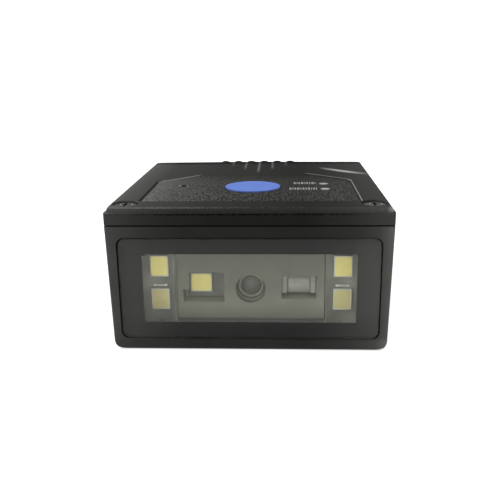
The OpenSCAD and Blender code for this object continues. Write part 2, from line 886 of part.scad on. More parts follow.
module bracket_screws() {
    color("#b9bcc0") both_sides() translate([ear_x, ear_y, ear_z + bracket_t]) pan_screw(bracket_screw_l);
}

// Light board on the right: soldered tab, peg hole, corner cleared for the screw boss
module light_board() {
    color("#4d4d48") along_y(led_face, led_back) difference() {
        union() {
            difference() {
                translate([led_board_in, led_board_z]) square([led_board_w, led_board_h]);
                translate([screw_x - corner_boss_d / 2 - 0.3, rim_z - corner_boss_l - 0.3])
                    square(body_w);
            }
            translate([led_tab_x - led_tab_w / 2, led_board_top - over])
                square([led_tab_w, board_top + led_tab_over - led_board_top + over]);
        }
        translate([led_x, peg_z]) circle(d = peg_d + 2 * hole_play);
    }
}

module right_light_board() { light_board(); }
module left_light_board() { mirror([1, 0, 0]) light_board(); }

// White light: a shallow cup whose floor is the phosphor
module light(x, z, w, h, back) {
    rim = 0.15;
    corner = 0.5;
    color("#d8cf86") translate([x, 0, z]) difference() {
        along_y(back - led_h, back) square([w, h], center = true);
        along_y(back - led_h - over, back - led_h + 0.1)
            round_rect(w - 2 * rim, h - 2 * rim, corner);
    }
}

module right_upper_light() { light(led_x, led_high_z, led_w, led_l, led_face); }
module right_lower_light() { light(led_x, led_low_z, led_w, led_l, led_face); }
module left_upper_light() { light(led_shift - led_x, led_high_z, led_w, led_l, led_face); }
module left_lower_light() { light(led_shift - led_x, led_low_z, led_w, led_l, led_face); }

module resistor(x) {
    color("#c9c9c4") along_y(led_face - resistor_h, led_face) translate([x, resistor_z])
        square([resistor_l, resistor_w], center = true);
}

module left_resistor() { resistor(led_shift - led_x); }
module right_resistor() { resistor(led_x); }

// Opening in the engine's face for its own light, with a notch low on one side
module flash_opening() {
    low_x = flash_open_x - flash_open_w / 2;
    translate([low_x, flash_open_low]) square([flash_open_w, flash_open_h]);
    translate([low_x - flash_notch_w, flash_open_low])
        square([flash_notch_w + sliver, flash_notch_h]);
}

module engine_block() {
    color("#565650") difference() {
        block([-engine_w / 2, engine_face, engine_z], [engine_w / 2, engine_rear, engine_top]);
        // Countersink and bore for the lens barrel
        translate([0, engine_face + lens_sink, lens_z]) rotate([90, 0, 0])
            cylinder(d = lens_sink_d, h = lens_sink + over);
        translate([0, engine_rear, lens_z]) rotate([90, 0, 0])
            cylinder(d = barrel_d + 2 * barrel_play, h = engine_d + over);
        // Room for the sensor
        along_y(barrel_end, engine_rear + over) translate([0, lens_z])
            round_rect(sensor_room_w, sensor_room_h, 0.8);
        // Openings for the light and the aiming lens, and the rooms behind them
        along_y(engine_face - over, shoulder_y + sliver) flash_opening();
        along_y(engine_face - over, shoulder_y + sliver)
            translate([aimer_x - aimer_w / 2 - aimer_play, aimer_open_low])
                square([aimer_w + 2 * aimer_play, aimer_open_h]);
        for (x = [flash_open_x, aimer_x])
            along_y(shoulder_y, engine_rear + over) translate([x, flash_mid_z])
                round_rect(small_board_w + 2 * slip, small_board_h + 2 * slip, 0.5);
        both_sides() translate([engine_screw_x, engine_screw_y, engine_z - over])
            cylinder(d = engine_screw_d + 2 * hole_play, h = engine_screw_l - bracket_t + over + 0.3);
    }
}

module engine_board() {
    color("#24443a") block([-engine_w / 2, engine_rear, engine_z],
                           [engine_w / 2, engine_rear + engine_board_t, engine_top]);
}

module engine_screws() {
    color("#b9bcc0") both_sides() translate([engine_screw_x, engine_screw_y, floor_t + 0.1]) {
        cylinder(d1 = csk_d, d2 = engine_screw_d, h = csk_h - 0.1);
        translate([0, 0, csk_h - 0.1 - sliver])
            cylinder(d = engine_screw_d, h = engine_screw_l - csk_h + 0.1 + sliver);
    }
}

module image_sensor() {
    color("#20242a") along_y(engine_rear - sensor_t, engine_rear) translate([0, lens_z])
        square([sensor_w, sensor_h], center = true);
}

// Barrel with a small front opening and a seat for each lens
module lens_barrel() {
    lip = 0.4;
    r = barrel_d / 2;
    color("#4c4c46") translate([0, barrel_y, lens_z]) rotate([-90, 0, 0]) rotate_extrude()
        polygon([
            [aperture_d / 2, 0], [r, 0], [r, barrel_l], [r - 0.5, barrel_l],
            [r - 0.5, barrel_l - 1.5], [r - 0.8, barrel_l - 1.5], [r - 0.8, 1.6 + lip],
            [aperture_d / 2, 1.6 + lip]
        ]);
}

// Front lens: crowned towards the window
module front_lens() {
    r = 3.4;
    edge = aperture_d / 2;
    crown = r - sqrt(r * r - edge * edge);
    color("#3a4a6a", 0.6) translate([0, barrel_y + 0.4, lens_z]) rotate([-90, 0, 0])
        intersection() {
            cylinder(d = aperture_d, h = 1.6);
            translate([0, 0, r]) sphere(r = r);
            translate([0, 0, -over]) cylinder(d = aperture_d, h = 1.2 + crown + over);
        }
}

module rear_lens() {
    color("#3a4a6a", 0.6) translate([0, barrel_end - 1.5, lens_z]) rotate([-90, 0, 0])
        cylinder(d = barrel_d - 1, h = 1);
}

module engine_light() {
    light(-flash_x, flash_mid_z, flash_w, flash_h, shoulder_y);
}

// Small board behind an opening, standing on two pins from the engine board
module small_board(x) {
    color("#4d4d48") translate([x, 0, flash_mid_z]) {
        along_y(shoulder_y, shoulder_y + small_board_t)
            square([small_board_w, small_board_h], center = true);
        for (side = [-1, 1])
            along_y(shoulder_y + small_board_t - sliver, engine_rear)
                translate([side * pin_spread, 0]) circle(d = pin_d);
    }
}

module engine_light_board() { small_board(flash_open_x); }
module aimer_light_board() { small_board(aimer_x); }

module aimer_light() {
    color("#d9d9c8") along_y(shoulder_y - 0.4, shoulder_y)
        translate([aimer_x, aimer_low + aimer_h / 2])
            square([aimer_light_w, aimer_light_h], center = true);
}

// Clear moulded bar lens between two cheeks
module aimer_lens() {
    face = engine_face + aimer_sink;
    back = shoulder_y - 0.4;
    bar_w = aimer_w - 2 * (aimer_cheek_w + aimer_slot_w);
    color("#c4c4bc", 0.7) translate([aimer_x, 0, aimer_low]) {
        both_sides() block([aimer_w / 2 - aimer_cheek_w, face, 0], [aimer_w / 2, shoulder_y, aimer_h]);
        block([-aimer_w / 2, back - 0.5, 0], [aimer_w / 2, back, aimer_h]);
        intersection() {
            block([-bar_w / 2, face, 0], [bar_w / 2, back - 0.4, aimer_h]);
            translate([0, face + aimer_crown_r, aimer_h / 2]) rotate([0, 90, 0])
                cylinder(r = aimer_crown_r, h = bar_w + over, center = true);
        }
    }
}

module engine_connector() {
    y0 = engine_rear + engine_board_t;
    color("#e0dccf") block([-connector_w / 2, y0, connector_top - connector_h],
                           [connector_w / 2, y0 + connector_t, connector_top]);
}

// Flat cable: up from the engine's connector, then back under the main board
module engine_flex() {
    half = flex_t / 2;
    bend_z = flex_z - flex_r;
    color("#c8a060") {
        block([-flex_w / 2, flex_y - half, connector_top], [flex_w / 2, flex_y + half, bend_z]);
        block([-flex_w / 2, flex_y + flex_r, flex_z - half],
              [flex_w / 2, socket_front, flex_z + half]);
        along_x(-flex_w / 2, flex_w / 2) translate([flex_y + flex_r, bend_z]) intersection() {
            difference() {
                circle(r = flex_r + half);
                circle(r = flex_r - half);
            }
            translate([-2 * flex_r, 0]) square(2 * flex_r);
        }
    }
}

module flex_connector() {
    color("#e0dccf") block([-connector_w / 2, socket_front, board_under - connector_t],
                           [connector_w / 2, socket_front + flex_socket_l, board_under]);
}

module main_board() {
    half = board_w / 2;
    color("#24443a") difference() {
        translate([0, 0, board_under]) linear_extrude(height = board_t) difference() {
            polygon([
                [-notch_x, board_front], [notch_x, board_front], [notch_x, notch_y],
                [half, notch_y], [half, board_rear], [-half, board_rear],
                [-half, notch_y], [-notch_x, notch_y]
            ]);
            for (side = [-1, 1]) {
                translate([side * led_tab_x, (led_face + led_back) / 2])
                    square([led_tab_w + 0.2, led_board_t + 0.2], center = true);
                for (y = [post_front_y, post_rear_y])
                    translate([side * post_x, y]) circle(d = pilot_d + 0.2);
            }
        }
    }
}

module board_screws() {
    color("#b9bcc0") both_sides() for (y = [post_front_y, post_rear_y])
        translate([post_x, y, board_top]) pan_screw(board_screw_l);
}

// Component on top of the main board, by its middle and size
module chip(x, y, size) {
    translate([x - size[0] / 2, y - size[1] / 2, board_top]) cube(size);
}

module processor() { color("#202226") chip(0, processor_y, [processor_w, processor_w, processor_h]); }

module memory_chip() {
    color("#202226") chip(-memory_x, memory_y, [memory_w, memory_l, memory_h]);
}

module clock_crystal() {
    color("#c0c0bc") chip(0, crystal_y, [crystal_w, crystal_l, crystal_h]);
}

module voltage_regulator() {
    color("#202226") chip(regulator_x, regulator_y, [regulator_w, regulator_l, regulator_h]);
}

module power_inductor() {
    color("#3a3a3c") chip(inductor_x, inductor_y, [inductor_w, inductor_w, inductor_h]);
}

module filter_capacitors() {
    color("#b59a6a") for (i = [0 : capacitor_count - 1])
        chip((i - (capacitor_count - 1) / 2) * capacitor_pitch, capacitor_y,
             [capacitor_w, capacitor_l, capacitor_h]);
}

module beeper() {
    port_d = 1.6;
    color("#1d1d1d") difference() {
        chip(-beeper_x, front_y + beeper_front, [beeper_w, beeper_w, beeper_h]);
        translate([-beeper_x, front_y + beeper_front, board_top + beeper_h - 0.6])
            cylinder(d = port_d, h = over);
    }
}

module status_light(from_front) {
    color("#dfe4dc") chip(status_x, front_y + from_front, [status_w, status_l, status_h]);
}

module power_status_light() { status_light(power_front); }
module scan_status_light() { status_light(scan_front); }

module modular_socket() {
    color("#1f1f20") difference() {
        block([-jack_w / 2, jack_front, jack_low], [jack_w / 2, rear_y, board_under]);
        along_y(rear_y - plug_d, rear_y + over) {
            translate([-plug_w / 2, plug_floor]) square([plug_w, plug_h]);
            translate([-latch_w / 2, plug_floor - latch_h]) square([latch_w, latch_h + over]);
            translate([-key_w / 2, plug_floor - latch_h - key_h])
                square([key_w, key_h + over]);
        }
    }
}

// Sprung contacts that dip from the socket's roof into the plug's cavity
module socket_contacts() {
    y0 = rear_y - contact_mouth;
    y1 = rear_y - plug_d;
    color("#c9a24a") for (i = [0 : contact_count - 1]) {
        x = (i - (contact_count - 1) / 2) * contact_pitch;
        along_x(x - contact_w / 2, x + contact_w / 2) polygon([
            [y0, plug_roof], [y0 - 1.2, plug_roof], [y1, plug_roof - contact_dip + contact_t],
            [y1, plug_roof - contact_dip], [y0 - 1.2, plug_roof - contact_t],
            [y0, plug_roof - contact_t]
        ]);
    }
}

housing();
top_cover();
cover_seal();
cover_screws();
window_panel();
window_mask();
window_tape();
badge();
power_light_pipe();
scan_light_pipe();
mount_inserts();
optics_bracket();
bracket_screws();
left_light_board();
right_light_board();
left_upper_light();
left_lower_light();
right_upper_light();
right_lower_light();
left_resistor();
right_resistor();
engine_block();
engine_board();
engine_screws();
image_sensor();
lens_barrel();
front_lens();
rear_lens();
engine_light();
engine_light_board();
aimer_lens();
aimer_light();
aimer_light_board();
engine_connector();
engine_flex();
main_board();
board_screws();
processor();
memory_chip();
clock_crystal();
voltage_regulator();
power_inductor();
filter_capacitors();
beeper();
power_status_light();
scan_status_light();
flex_connector();
modular_socket();
socket_contacts();
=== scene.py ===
# Compact fixed-mount barcode scanner, dressed for a studio picture.
# Blender works in metres. The dictionaries hold millimetres; X is across the front,
# +Y goes to the rear and +Z is up.
import math
from types import SimpleNamespace

import bpy
import bmesh
from mathutils import Matrix, Vector


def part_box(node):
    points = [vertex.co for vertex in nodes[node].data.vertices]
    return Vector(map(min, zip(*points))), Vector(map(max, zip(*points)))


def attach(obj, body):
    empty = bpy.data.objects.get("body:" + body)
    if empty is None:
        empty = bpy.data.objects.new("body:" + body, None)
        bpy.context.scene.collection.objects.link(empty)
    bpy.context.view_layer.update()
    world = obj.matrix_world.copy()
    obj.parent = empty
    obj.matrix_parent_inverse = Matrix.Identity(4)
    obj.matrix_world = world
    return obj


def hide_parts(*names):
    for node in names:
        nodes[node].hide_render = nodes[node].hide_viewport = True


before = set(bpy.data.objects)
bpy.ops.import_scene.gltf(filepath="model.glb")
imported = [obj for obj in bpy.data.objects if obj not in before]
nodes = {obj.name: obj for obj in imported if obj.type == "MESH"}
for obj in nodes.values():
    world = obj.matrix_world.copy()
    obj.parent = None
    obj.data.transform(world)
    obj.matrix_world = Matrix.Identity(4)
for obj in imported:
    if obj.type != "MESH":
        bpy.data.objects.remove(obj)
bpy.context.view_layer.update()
mm = 0.001
print("frame loaded:", len(nodes), "nodes")

# Camera
cameraSettings = {
    "place": (5.15, -126.87, 46.93),
    "turnLeft": 0.0476,            # radians
    "lookDown": 0.28105,
    "roll": -0.0125,
    "lens": 48.74,                 # on a sensor of this width
    "sensor": 36,
    "clipStart": 5,
}


def makeCamera(settings):
    yaw, pitch, roll = settings["turnLeft"], settings["lookDown"], settings["roll"]
    level = Vector((math.cos(yaw), math.sin(yaw), 0))
    ahead = Vector((-math.sin(yaw), math.cos(yaw), 0))
    forward = math.cos(pitch) * ahead - math.sin(pitch) * Vector((0, 0, 1))
    upright = level.cross(forward)
    right = math.cos(roll) * level + math.sin(roll) * upright
    up = math.cos(roll) * upright - math.sin(roll) * level
    data = bpy.data.cameras.new("studioCamera")
    data.lens = settings["lens"]
    data.sensor_width = settings["sensor"]
    data.clip_start = settings["clipStart"] * mm
    camera = bpy.data.objects.new("studioCamera", data)
    bpy.context.scene.collection.objects.link(camera)
    turned = Matrix((right, up, -forward)).transposed().to_4x4()
    camera.matrix_world = Matrix.Translation(Vector(settings["place"]) * mm) @ turned
    bpy.context.scene.camera = camera


makeCamera(cameraSettings)
print("camera set")


# Helpers for materials
def startMaterial(name, look):
    material = bpy.data.materials.new(name)
    material.use_nodes = True
    tree = material.node_tree
    shader = next(n for n in tree.nodes if n.type == "BSDF_PRINCIPLED")
    shader.inputs["Base Color"].default_value = (*look["colour"], 1)
    shader.inputs["Roughness"].default_value = look["roughness"]
    shader.inputs["Metallic"].default_value = look.get("metallic", 0.0)
    shader.inputs["Specular IOR Level"].default_value = look.get("specular", 0.5)
    return material, tree, shader


def feed(tree, socket, value):
    if isinstance(value, bpy.types.NodeSocket):
        tree.links.new(value, socket)
    else:
        socket.default_value = value


def calc(tree, kind, a, b=0.0):
    node = tree.nodes.new("ShaderNodeMath")
    node.operation = kind
    feed(tree, node.inputs[0], a)
    feed(tree, node.inputs[1], b)
    return node.outputs[0]


def times(tree, first, *others):
    for value in others:
        first = calc(tree, "MULTIPLY", first, value)
    return first


def plus(tree, a, b):
    return calc(tree, "ADD", a, b)


def minus(tree, a, b):
    return calc(tree, "SUBTRACT", a, b)


# Slope: two values of the input, then what comes out at each
def remap(tree, value, low, high, newLow=0.0, newHigh=1.0):
    node = tree.nodes.new("ShaderNodeMapRange")
    for socket, given in zip(node.inputs, (value, low, high, newLow, newHigh)):
        feed(tree, socket, given)
    return node.outputs["Result"]


# 1 from low to high, fading over a soft edge outside them
def between(tree, value, low, high, soft):
    return times(tree, remap(tree, value, low - soft, low), remap(tree, value, high, high + soft, 1.0, 0.0))


def blendColour(tree, share, a, b):
    node = tree.nodes.new("ShaderNodeMix")
    node.data_type = "RGBA"
    feed(tree, node.inputs[0], share)
    for socket, value in ((node.inputs[6], a), (node.inputs[7], b)):
        feed(tree, socket, value if isinstance(value, bpy.types.NodeSocket) else (*value, 1))
    return node.outputs[2]


def scaleColour(tree, colour, factor):
    node = tree.nodes.new("ShaderNodeVectorMath")
    node.operation = "SCALE"
    feed(tree, node.inputs[0], colour)
    feed(tree, node.inputs["Scale"], factor)
    return node.outputs[0]


def axes(tree, socket):
    node = tree.nodes.new("ShaderNodeSeparateXYZ")
    tree.links.new(socket, node.inputs[0])
    return node.outputs


# Where a point lies on its piece, in millimetres, and which way its face looks
def readPlace(tree):
    point = scaleColour(tree, tree.nodes.new("ShaderNodeTexCoord").outputs["Object"], 1 / mm)
    x, y, z = axes(tree, point)
    normal = axes(tree, tree.nodes.new("ShaderNodeNewGeometry").outputs["True Normal"])
    return SimpleNamespace(point=point, x=x, y=y, z=z, wide=calc(tree, "ABSOLUTE", x), normal=normal)


def awayFrom(tree, a, b, centre):
    da = minus(tree, a, centre[0])
    db = minus(tree, b, centre[1])
    return calc(tree, "SQRT", plus(tree, times(tree, da, da), times(tree, db, db)))


def stretched(tree, point, scale):
    node = tree.nodes.new("ShaderNodeMapping")
    tree.links.new(point, node.inputs["Vector"])
    node.inputs["Scale"].default_value = scale
    return node.outputs["Vector"]


def noise(tree, point, size, detail=2.0, rough=0.5):
    node = tree.nodes.new("ShaderNodeTexNoise")
    tree.links.new(point, node.inputs["Vector"])
    node.inputs["Scale"].default_value = 1 / size
    node.inputs["Detail"].default_value = detail
    node.inputs["Roughness"].default_value = rough
    return node.outputs["Fac"]


# The noise's values that stand for its low and high ends, usually and for softer patches
usualSpan = (0.35, 0.65)
wideSpan = (0.3, 0.7)


# Value that wanders from low to high over patches of this size
def patchy(tree, point, size, low, high, detail=2.0, span=usualSpan):
    return remap(tree, noise(tree, point, size, detail), *span, low, high)


def bumpFrom(tree, shader, height, depth):
    node = tree.nodes.new("ShaderNodeBump")
    feed(tree, node.inputs["Height"], height)
    node.inputs["Distance"].default_value = depth * mm
    tree.links.new(node.outputs["Normal"], shader.inputs["Normal"])


# Fine surface, from a grain's size and depth
def grainy(tree, shader, point, size, depth):
    bumpFrom(tree, shader, noise(tree, point, size), depth)


# A grey level as a colour, a little warm like the object
def warmGrey(level):
    return (level * 0.985, level, level * 0.925, 1)


# Grey that changes with a measure, as (place, level) stops
def greyAlong(tree, measure, stops):
    low, high = stops[0][0], stops[-1][0]
    node = tree.nodes.new("ShaderNodeValToRGB")
    tree.links.new(remap(tree, measure, low, high), node.inputs["Fac"])
    bar = node.color_ramp.elements
    bar[0].color = warmGrey(stops[0][1])
    bar[1].color = warmGrey(stops[-1][1])
    for place, level in stops[1:-1]:
        bar.new((place - low) / (high - low)).color = warmGrey(level)
    return node.outputs["Color"]


# A finish with a mottled colour, a roughness that wanders and a fine surface
def plainFinish(name, look):
    colour, roughness = look["colour"], look["roughness"]
    material, tree, shader = startMaterial(name, look)
    point = readPlace(tree).point
    mottle = noise(tree, point, look.get("mottleSize", 3.0), 3.0)
    strength = look.get("mottle", 0.12)
    deep = tuple(c * (1 - strength) for c in colour)
    pale = tuple(min(1.0, c * (1 + strength)) for c in colour)
    base = blendColour(tree, remap(tree, mottle, *usualSpan), deep, pale)
    tree.links.new(base, shader.inputs["Base Color"])
    wander = look.get("wander", 0.05)
    wandering = remap(tree, mottle, *wideSpan, roughness - wander, roughness + wander)
    tree.links.new(wandering, shader.inputs["Roughness"])
    point = stretched(tree, point, look.get("stretch", (1, 1, 1)))
    grainy(tree, shader, point, look.get("grainSize", 0.15), look.get("grainDepth", 0.01))
    return material


def dress(material, *names):
    for name in names:
        mesh = nodes[name].data
        mesh.materials.clear()
        mesh.materials.append(material)


def finishPiece(mesh, name, material):
    data = bpy.data.meshes.new(name)
    mesh.to_mesh(data)
    mesh.free()
    data.materials.append(material)
    piece = bpy.data.objects.new(name, data)
    bpy.context.scene.collection.objects.link(piece)
    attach(piece, "root")
    return piece


# Housing
housingLook = {
    # grey levels across the width, painted light: the sides are paler than the middle
    "across": ((-23, 0.07), (-21, 0.055), (-17, 0.034), (-10, 0.018), (9, 0.0165),
               (16, 0.026), (20.5, 0.05), (21.8, 0.08), (23, 0.12)),
    "foot": (2.2, 1.6),                   # between these heights the colour gains a factor, painted light on the lower edge
    "footLight": (-20, -10, 0.85, 1.45),   # from x to x, and the factor at each
    "mottle": (6.0, 0.92, 1.08),          # size, then the factors it wanders between
    "speckle": (0.2, 0.9, 1.1),
    "rim": (20.9, 20.95),
    "rimFacing": (0.7, 0.8),
    # where the window's rebate begins and ends, and how softly
    "rebateWide": (21.25, 21.3),
    "rebateDeep": (-23.9, -22.2, 0.02),
    "rebateHigh": (2.0, 19.1, 0.05),
    "hidden": 0.12,
    "colour": (0.02, 0.02, 0.02),
    "roughness": 0.55,
    "wander": 0.05,
    "specular": 0.06,
    "grain": (0.12, 0.012),               # size and depth
}


# Seam and gap round the window, which hardly any light reaches
def darkGaps(tree, at, look):
    rim = times(tree, remap(tree, at.z, *look["rim"]), remap(tree, at.normal[2], *look["rimFacing"]))
    gap = times(tree, remap(tree, at.wide, *look["rebateWide"], 1.0, 0.0),
                between(tree, at.y, *look["rebateDeep"]), between(tree, at.z, *look["rebateHigh"]))
    return calc(tree, "MAXIMUM", rim, gap)


def makeHousingFinish(look):
    material, tree, shader = startMaterial("sparkErodedBlack", look)
    at = readPlace(tree)
    base = greyAlong(tree, at.x, look["across"])
    factor = times(tree, remap(tree, at.z, *look["foot"], 1.0, remap(tree, at.x, *look["footLight"])),
                   patchy(tree, at.point, *look["mottle"], 3.0),
                   patchy(tree, at.point, *look["speckle"]),
                   remap(tree, darkGaps(tree, at, look), 0.0, 1.0, 1.0, look["hidden"]))
    tree.links.new(scaleColour(tree, base, factor), shader.inputs["Base Color"])
    smooth, rough = look["roughness"] - look["wander"], look["roughness"] + look["wander"]
    roughness = patchy(tree, at.point, look["mottle"][0], smooth, rough, 3.0, wideSpan)
    tree.links.new(roughness, shader.inputs["Roughness"])
    grainy(tree, shader, at.point, *look["grain"])
    return material


dress(makeHousingFinish(housingLook), "housing")
print("housing dressed")

# Top cover. Four numbers in a row are mostly a slope: from, to, and the factor at each.
coverLook = {
    # grey levels across the width, painted light paler to the sides: plain top, sunk panel, shoulder and
    # the band under it
    "top": ((-23, 0.12), (-21, 0.08), (-17, 0.047), (-9, 0.032), (1, 0.025),
            (9, 0.017), (14, 0.024), (22, 0.05)),
    "panel": ((-18, 0.12), (-14, 0.076), (-9, 0.052), (-3, 0.038), (8, 0.03), (18, 0.045)),
    "shoulder": ((-22, 0.07), (-17, 0.046), (-10, 0.03), (9, 0.03), (16, 0.046), (22, 0.074)),
    "band": ((-23, 0.054), (-18, 0.034), (-13, 0.023), (-6, 0.0165), (9, 0.0165),
             (16, 0.03), (22, 0.056)),
    # painted light: in front of the panel the top is paler to the left and darker to the right
    "frontStrip": (-20, -17),
    "frontStripAcross": (-14, -4, 1.12, 0.94),
    # painted shade along the rear edge
    "rearShade": (19.6, 20.3),
    "rearShadeAcross": (16, 21, 0.38, 0.7),
    "colour": (0.03, 0.03, 0.029),
    "roughness": 0.6,
    "specular": 0.004,
    "flatTop": (0.9, 0.95),          # by how far a face looks up
    "steep": (0.75, 0.9),
    "fineGrain": (0.16, 0.012),      # size and depth
    "speckle": (0.2, -0.16, 0.16),
    "speckleStretch": (1, 0.5, 1),
    # colour of the painted highlights on the crease, the ribs and the front right corner
    "sheen": (0.42, 0.42, 0.41),
    "sunkPanel": {
        "halfWide": (18.45, 18.5),
        "front": (-18.6, -18.5),
        "fade": (1, 7),                  # the coarse grain ends between these y
        "floor": (23.99, 23.95),
        "grain": (0.27, 2.0, 0.6),       # size, detail and roughness of the noise
        "grainDepth": 0.06,
        "grainStretch": (1, 0.23, 1),
        "swing": (0.36, 0.64, -0.62, 0.95),
        # the grain is weaker to the left, to the right and to the rear
        "fromLeft": (-16, -3, 0.5, 1.3),
        "toRight": (3, 9, 1.0, 0.75),
        "toRear": (-12, -2, 1.0, 0.55),
    },
    "panelWalls": {
        "steep": (0.97, 0.93),
        "endY": (0.4, 0.8),
        "facesLeft": (-0.1, -0.4),
        "top": (23.86, 23.9),            # the right wall's painted highlight starts between these heights
        # painted shade on the left wall, painted highlights on the right wall and along the slants
        "dark": (0.028, 0.028, 0.026),
        "litEdge": (0.27, 0.27, 0.255),
        "slantColour": (0.17, 0.17, 0.163),
        "slantFrom": (18.05, 0.05),
        "slantNormal": (0.65, 0.76),
        "slantShift": (-8, 8, -0.25, 0.6),
        "slantEnd": (-8, 8, 5.7, 7.5),   # y where it fades
        "slantWide": (0.0, 0.3, 0.12),
        "slantFade": (0.0, 0.6),
        "slantSide": (18.1, 18.45),
    },
    "port": {
        "centre": (-12.89, -3.57),
        "hole": (0.5, 0.6),
        "lip": (0.55, 0.9, 0.1),
        "lipSides": (0.35, 0.6),         # the lip's painted highlight reaches only this far to the sides
        "holeColour": (0.012, 0.012, 0.011),
        "lipColour": (0.2, 0.2, 0.19),
    },
    "crease": {
        "point": (23.0, 6.0),
        "turn": 39.5,                    # degrees
        "bow": {"x": 18.5, "shift": -0.08, "tilt": 0.02, "bend": 0.02},
        "band": (-0.4, 0.35, 0.85),
        "start": (13, 16.5),
        "end": (18.5, 22, 1.0, 0.15),
    },
    "ribs": {
        "pitch": 2.85,
        "middle": 0.5,
        "startY": 8.3,
        "startSlope": 1.5,
        "rise": 3.5,
        "foot": (0.04, 0.13),            # shares of the pitch
        "strength": (0.5, 6.2, 0.26, 0.12),
        "lastRib": (6.2, 6.6),
    },
    "shoulderEdge": {
        # painted highlights along the shoulder's upper edge, stronger to the left
        "edge": (23.88, 24.0, 0.12),
        "glintNoise": (0.35, 3.0, 0.7),   # size, detail and roughness of the noise
        "glintGain": (-20, 8, 0.248, 0.0),
        "glintFrom": (0.54, 0.66),
        "glintFade": (-20, 4, 1.0, 0.3),
        "glintColour": (0.13, 0.13, 0.125),
        # painted highlight on the front right corner
        "cornerLightX": (21.6, 22.6, 0.0, 0.75),
        "cornerLightY": (-21.4, -22.8),
        "cornerLightPatches": (0.3, 0.4, 1.0),
        "cornerLightSpan": (0.35, 0.6),
    },
    "bandEdges": {
        "top": (23.13, 23.15),
        "dashes": (22.85, 23.03, 0.05),  # painted shadow in dashes under the ledge
        "dashStretch": (0.5, 1, 1),
        "dashNoise": (0.25, 3.0, 0.7),
        "dashFrom": (0.44, 0.5, 0.0, 0.85),
        "dashEnds": (12, 20),
        # painted shade on the band's lower edge in the seam
        "seam": (21.22, 21.25, 0.85, 0.0),
    },
}


# Share of the sunk panel in plan
def insidePanel(tree, at, look):
    return times(tree, remap(tree, at.wide, *look["halfWide"], 1.0, 0.0),
                 remap(tree, at.y, *look["front"]))


# Coarse leathery grain on the panel's floor, which fades to the rear
def panelGrain(tree, at, crumbs, look):
    sunk = look["sunkPanel"]
    strong = times(tree, remap(tree, at.x, *sunk["fromLeft"]), remap(tree, at.x, *sunk["toRight"]),
                   remap(tree, at.y, *sunk["toRear"]))
    swing = times(tree, remap(tree, crumbs, *sunk["swing"]), strong)
    return scaleColour(tree, greyAlong(tree, at.x, look["panel"]), plus(tree, swing, 1.0))


# Walls of the panel: a painted highlight along the right one's top, painted shade on the left one, painted
# highlight lines along the slants
def panelWalls(tree, at, inside, top, look):
    wall = times(tree, inside, remap(tree, at.normal[2], *look["steep"]),
                 remap(tree, at.y, *look["endY"], 1.0, 0.0))
    rightLit = times(tree, remap(tree, at.normal[0], *look["facesLeft"]), remap(tree, at.z, *look["top"]))
    top = blendColour(tree, wall, top, blendColour(tree, rightLit, look["dark"], look["litEdge"]))
    (startX, startY), (normalX, normalY) = look["slantFrom"], look["slantNormal"]
    across = plus(tree, times(tree, minus(tree, at.wide, startX), normalX),
                  times(tree, minus(tree, at.y, startY), normalY))
    across = minus(tree, across, remap(tree, at.x, *look["slantShift"]))
    pastEnd = minus(tree, at.y, remap(tree, at.x, *look["slantEnd"]))
    slant = times(tree, between(tree, across, *look["slantWide"]),
                  remap(tree, pastEnd, *look["slantFade"], 1.0, 0.0),
                  remap(tree, at.wide, *look["slantSide"], 1.0, 0.0))
    return blendColour(tree, slant, top, look["slantColour"])


# Sound port: painted shade in the hole and a painted highlight on its edge at each side
def soundPort(tree, at, top, look):
    reach = awayFrom(tree, at.x, at.y, look["centre"])
    sideways = calc(tree, "ABSOLUTE", minus(tree, at.x, look["centre"][0]))
    lip = times(tree, between(tree, reach, *look["lip"]), remap(tree, sideways, *look["lipSides"]))
    top = blendColour(tree, lip, top, look["lipColour"])
    return blendColour(tree, remap(tree, reach, *look["hole"], 1.0, 0.0), top, look["holeColour"])


# Painted highlight along the bowed crease, stronger towards the side
def creaseSheen(tree, at, look):
    turn = math.radians(look["turn"])
    pointX, pointY = look["point"]
    off = plus(tree, times(tree, minus(tree, at.x, pointX), math.sin(turn)),
               times(tree, minus(tree, at.y, pointY), math.cos(turn)))
    bow = look["bow"]
    along = minus(tree, at.x, bow["x"])
    slope = plus(tree, times(tree, along, bow["bend"]), bow["tilt"])
    off = minus(tree, off, plus(tree, times(tree, along, slope), bow["shift"]))
    return times(tree, between(tree, off, *look["band"]), remap(tree, at.x, *look["start"]),
                 remap(tree, at.x, *look["end"]))


# Painted highlight at the left foot of each rib, longest in the middle
def ribSheen(tree, at, look):
    fromMiddle = minus(tree, at.x, look["middle"])
    place = plus(tree, calc(tree, "DIVIDE", fromMiddle, look["pitch"]), 0.5)
    fromFoot = calc(tree, "ABSOLUTE", minus(tree, calc(tree, "FRACT", place), 0.5))
    away = calc(tree, "ABSOLUTE", fromMiddle)
    start = plus(tree, times(tree, away, look["startSlope"]), look["startY"])
    return times(tree, remap(tree, fromFoot, *look["foot"], 1.0, 0.0),
                 remap(tree, minus(tree, at.y, start), 0.0, look["rise"]),
                 remap(tree, away, *look["strength"]), remap(tree, away, *look["lastRib"], 1.0, 0.0))


# Shoulder with painted highlights along its upper edge and on its front right corner
def shoulderGrey(tree, at, look):
    shoulder = greyAlong(tree, at.x, look["shoulder"])
    edgeLighting = look["shoulderEdge"]
    glints = plus(tree, noise(tree, at.point, *edgeLighting["glintNoise"]), remap(tree, at.x, *edgeLighting["glintGain"]))
    edgeGlints = times(tree, between(tree, at.z, *edgeLighting["edge"]), remap(tree, glints, *edgeLighting["glintFrom"]),
                  remap(tree, at.x, *edgeLighting["glintFade"]))
    shoulder = blendColour(tree, edgeGlints, shoulder, edgeLighting["glintColour"])
    cornerLight = times(tree, remap(tree, at.x, *edgeLighting["cornerLightX"]), remap(tree, at.y, *edgeLighting["cornerLightY"]),
                patchy(tree, at.point, *edgeLighting["cornerLightPatches"], span=edgeLighting["cornerLightSpan"]))
    return blendColour(tree, cornerLight, shoulder, look["sheen"])
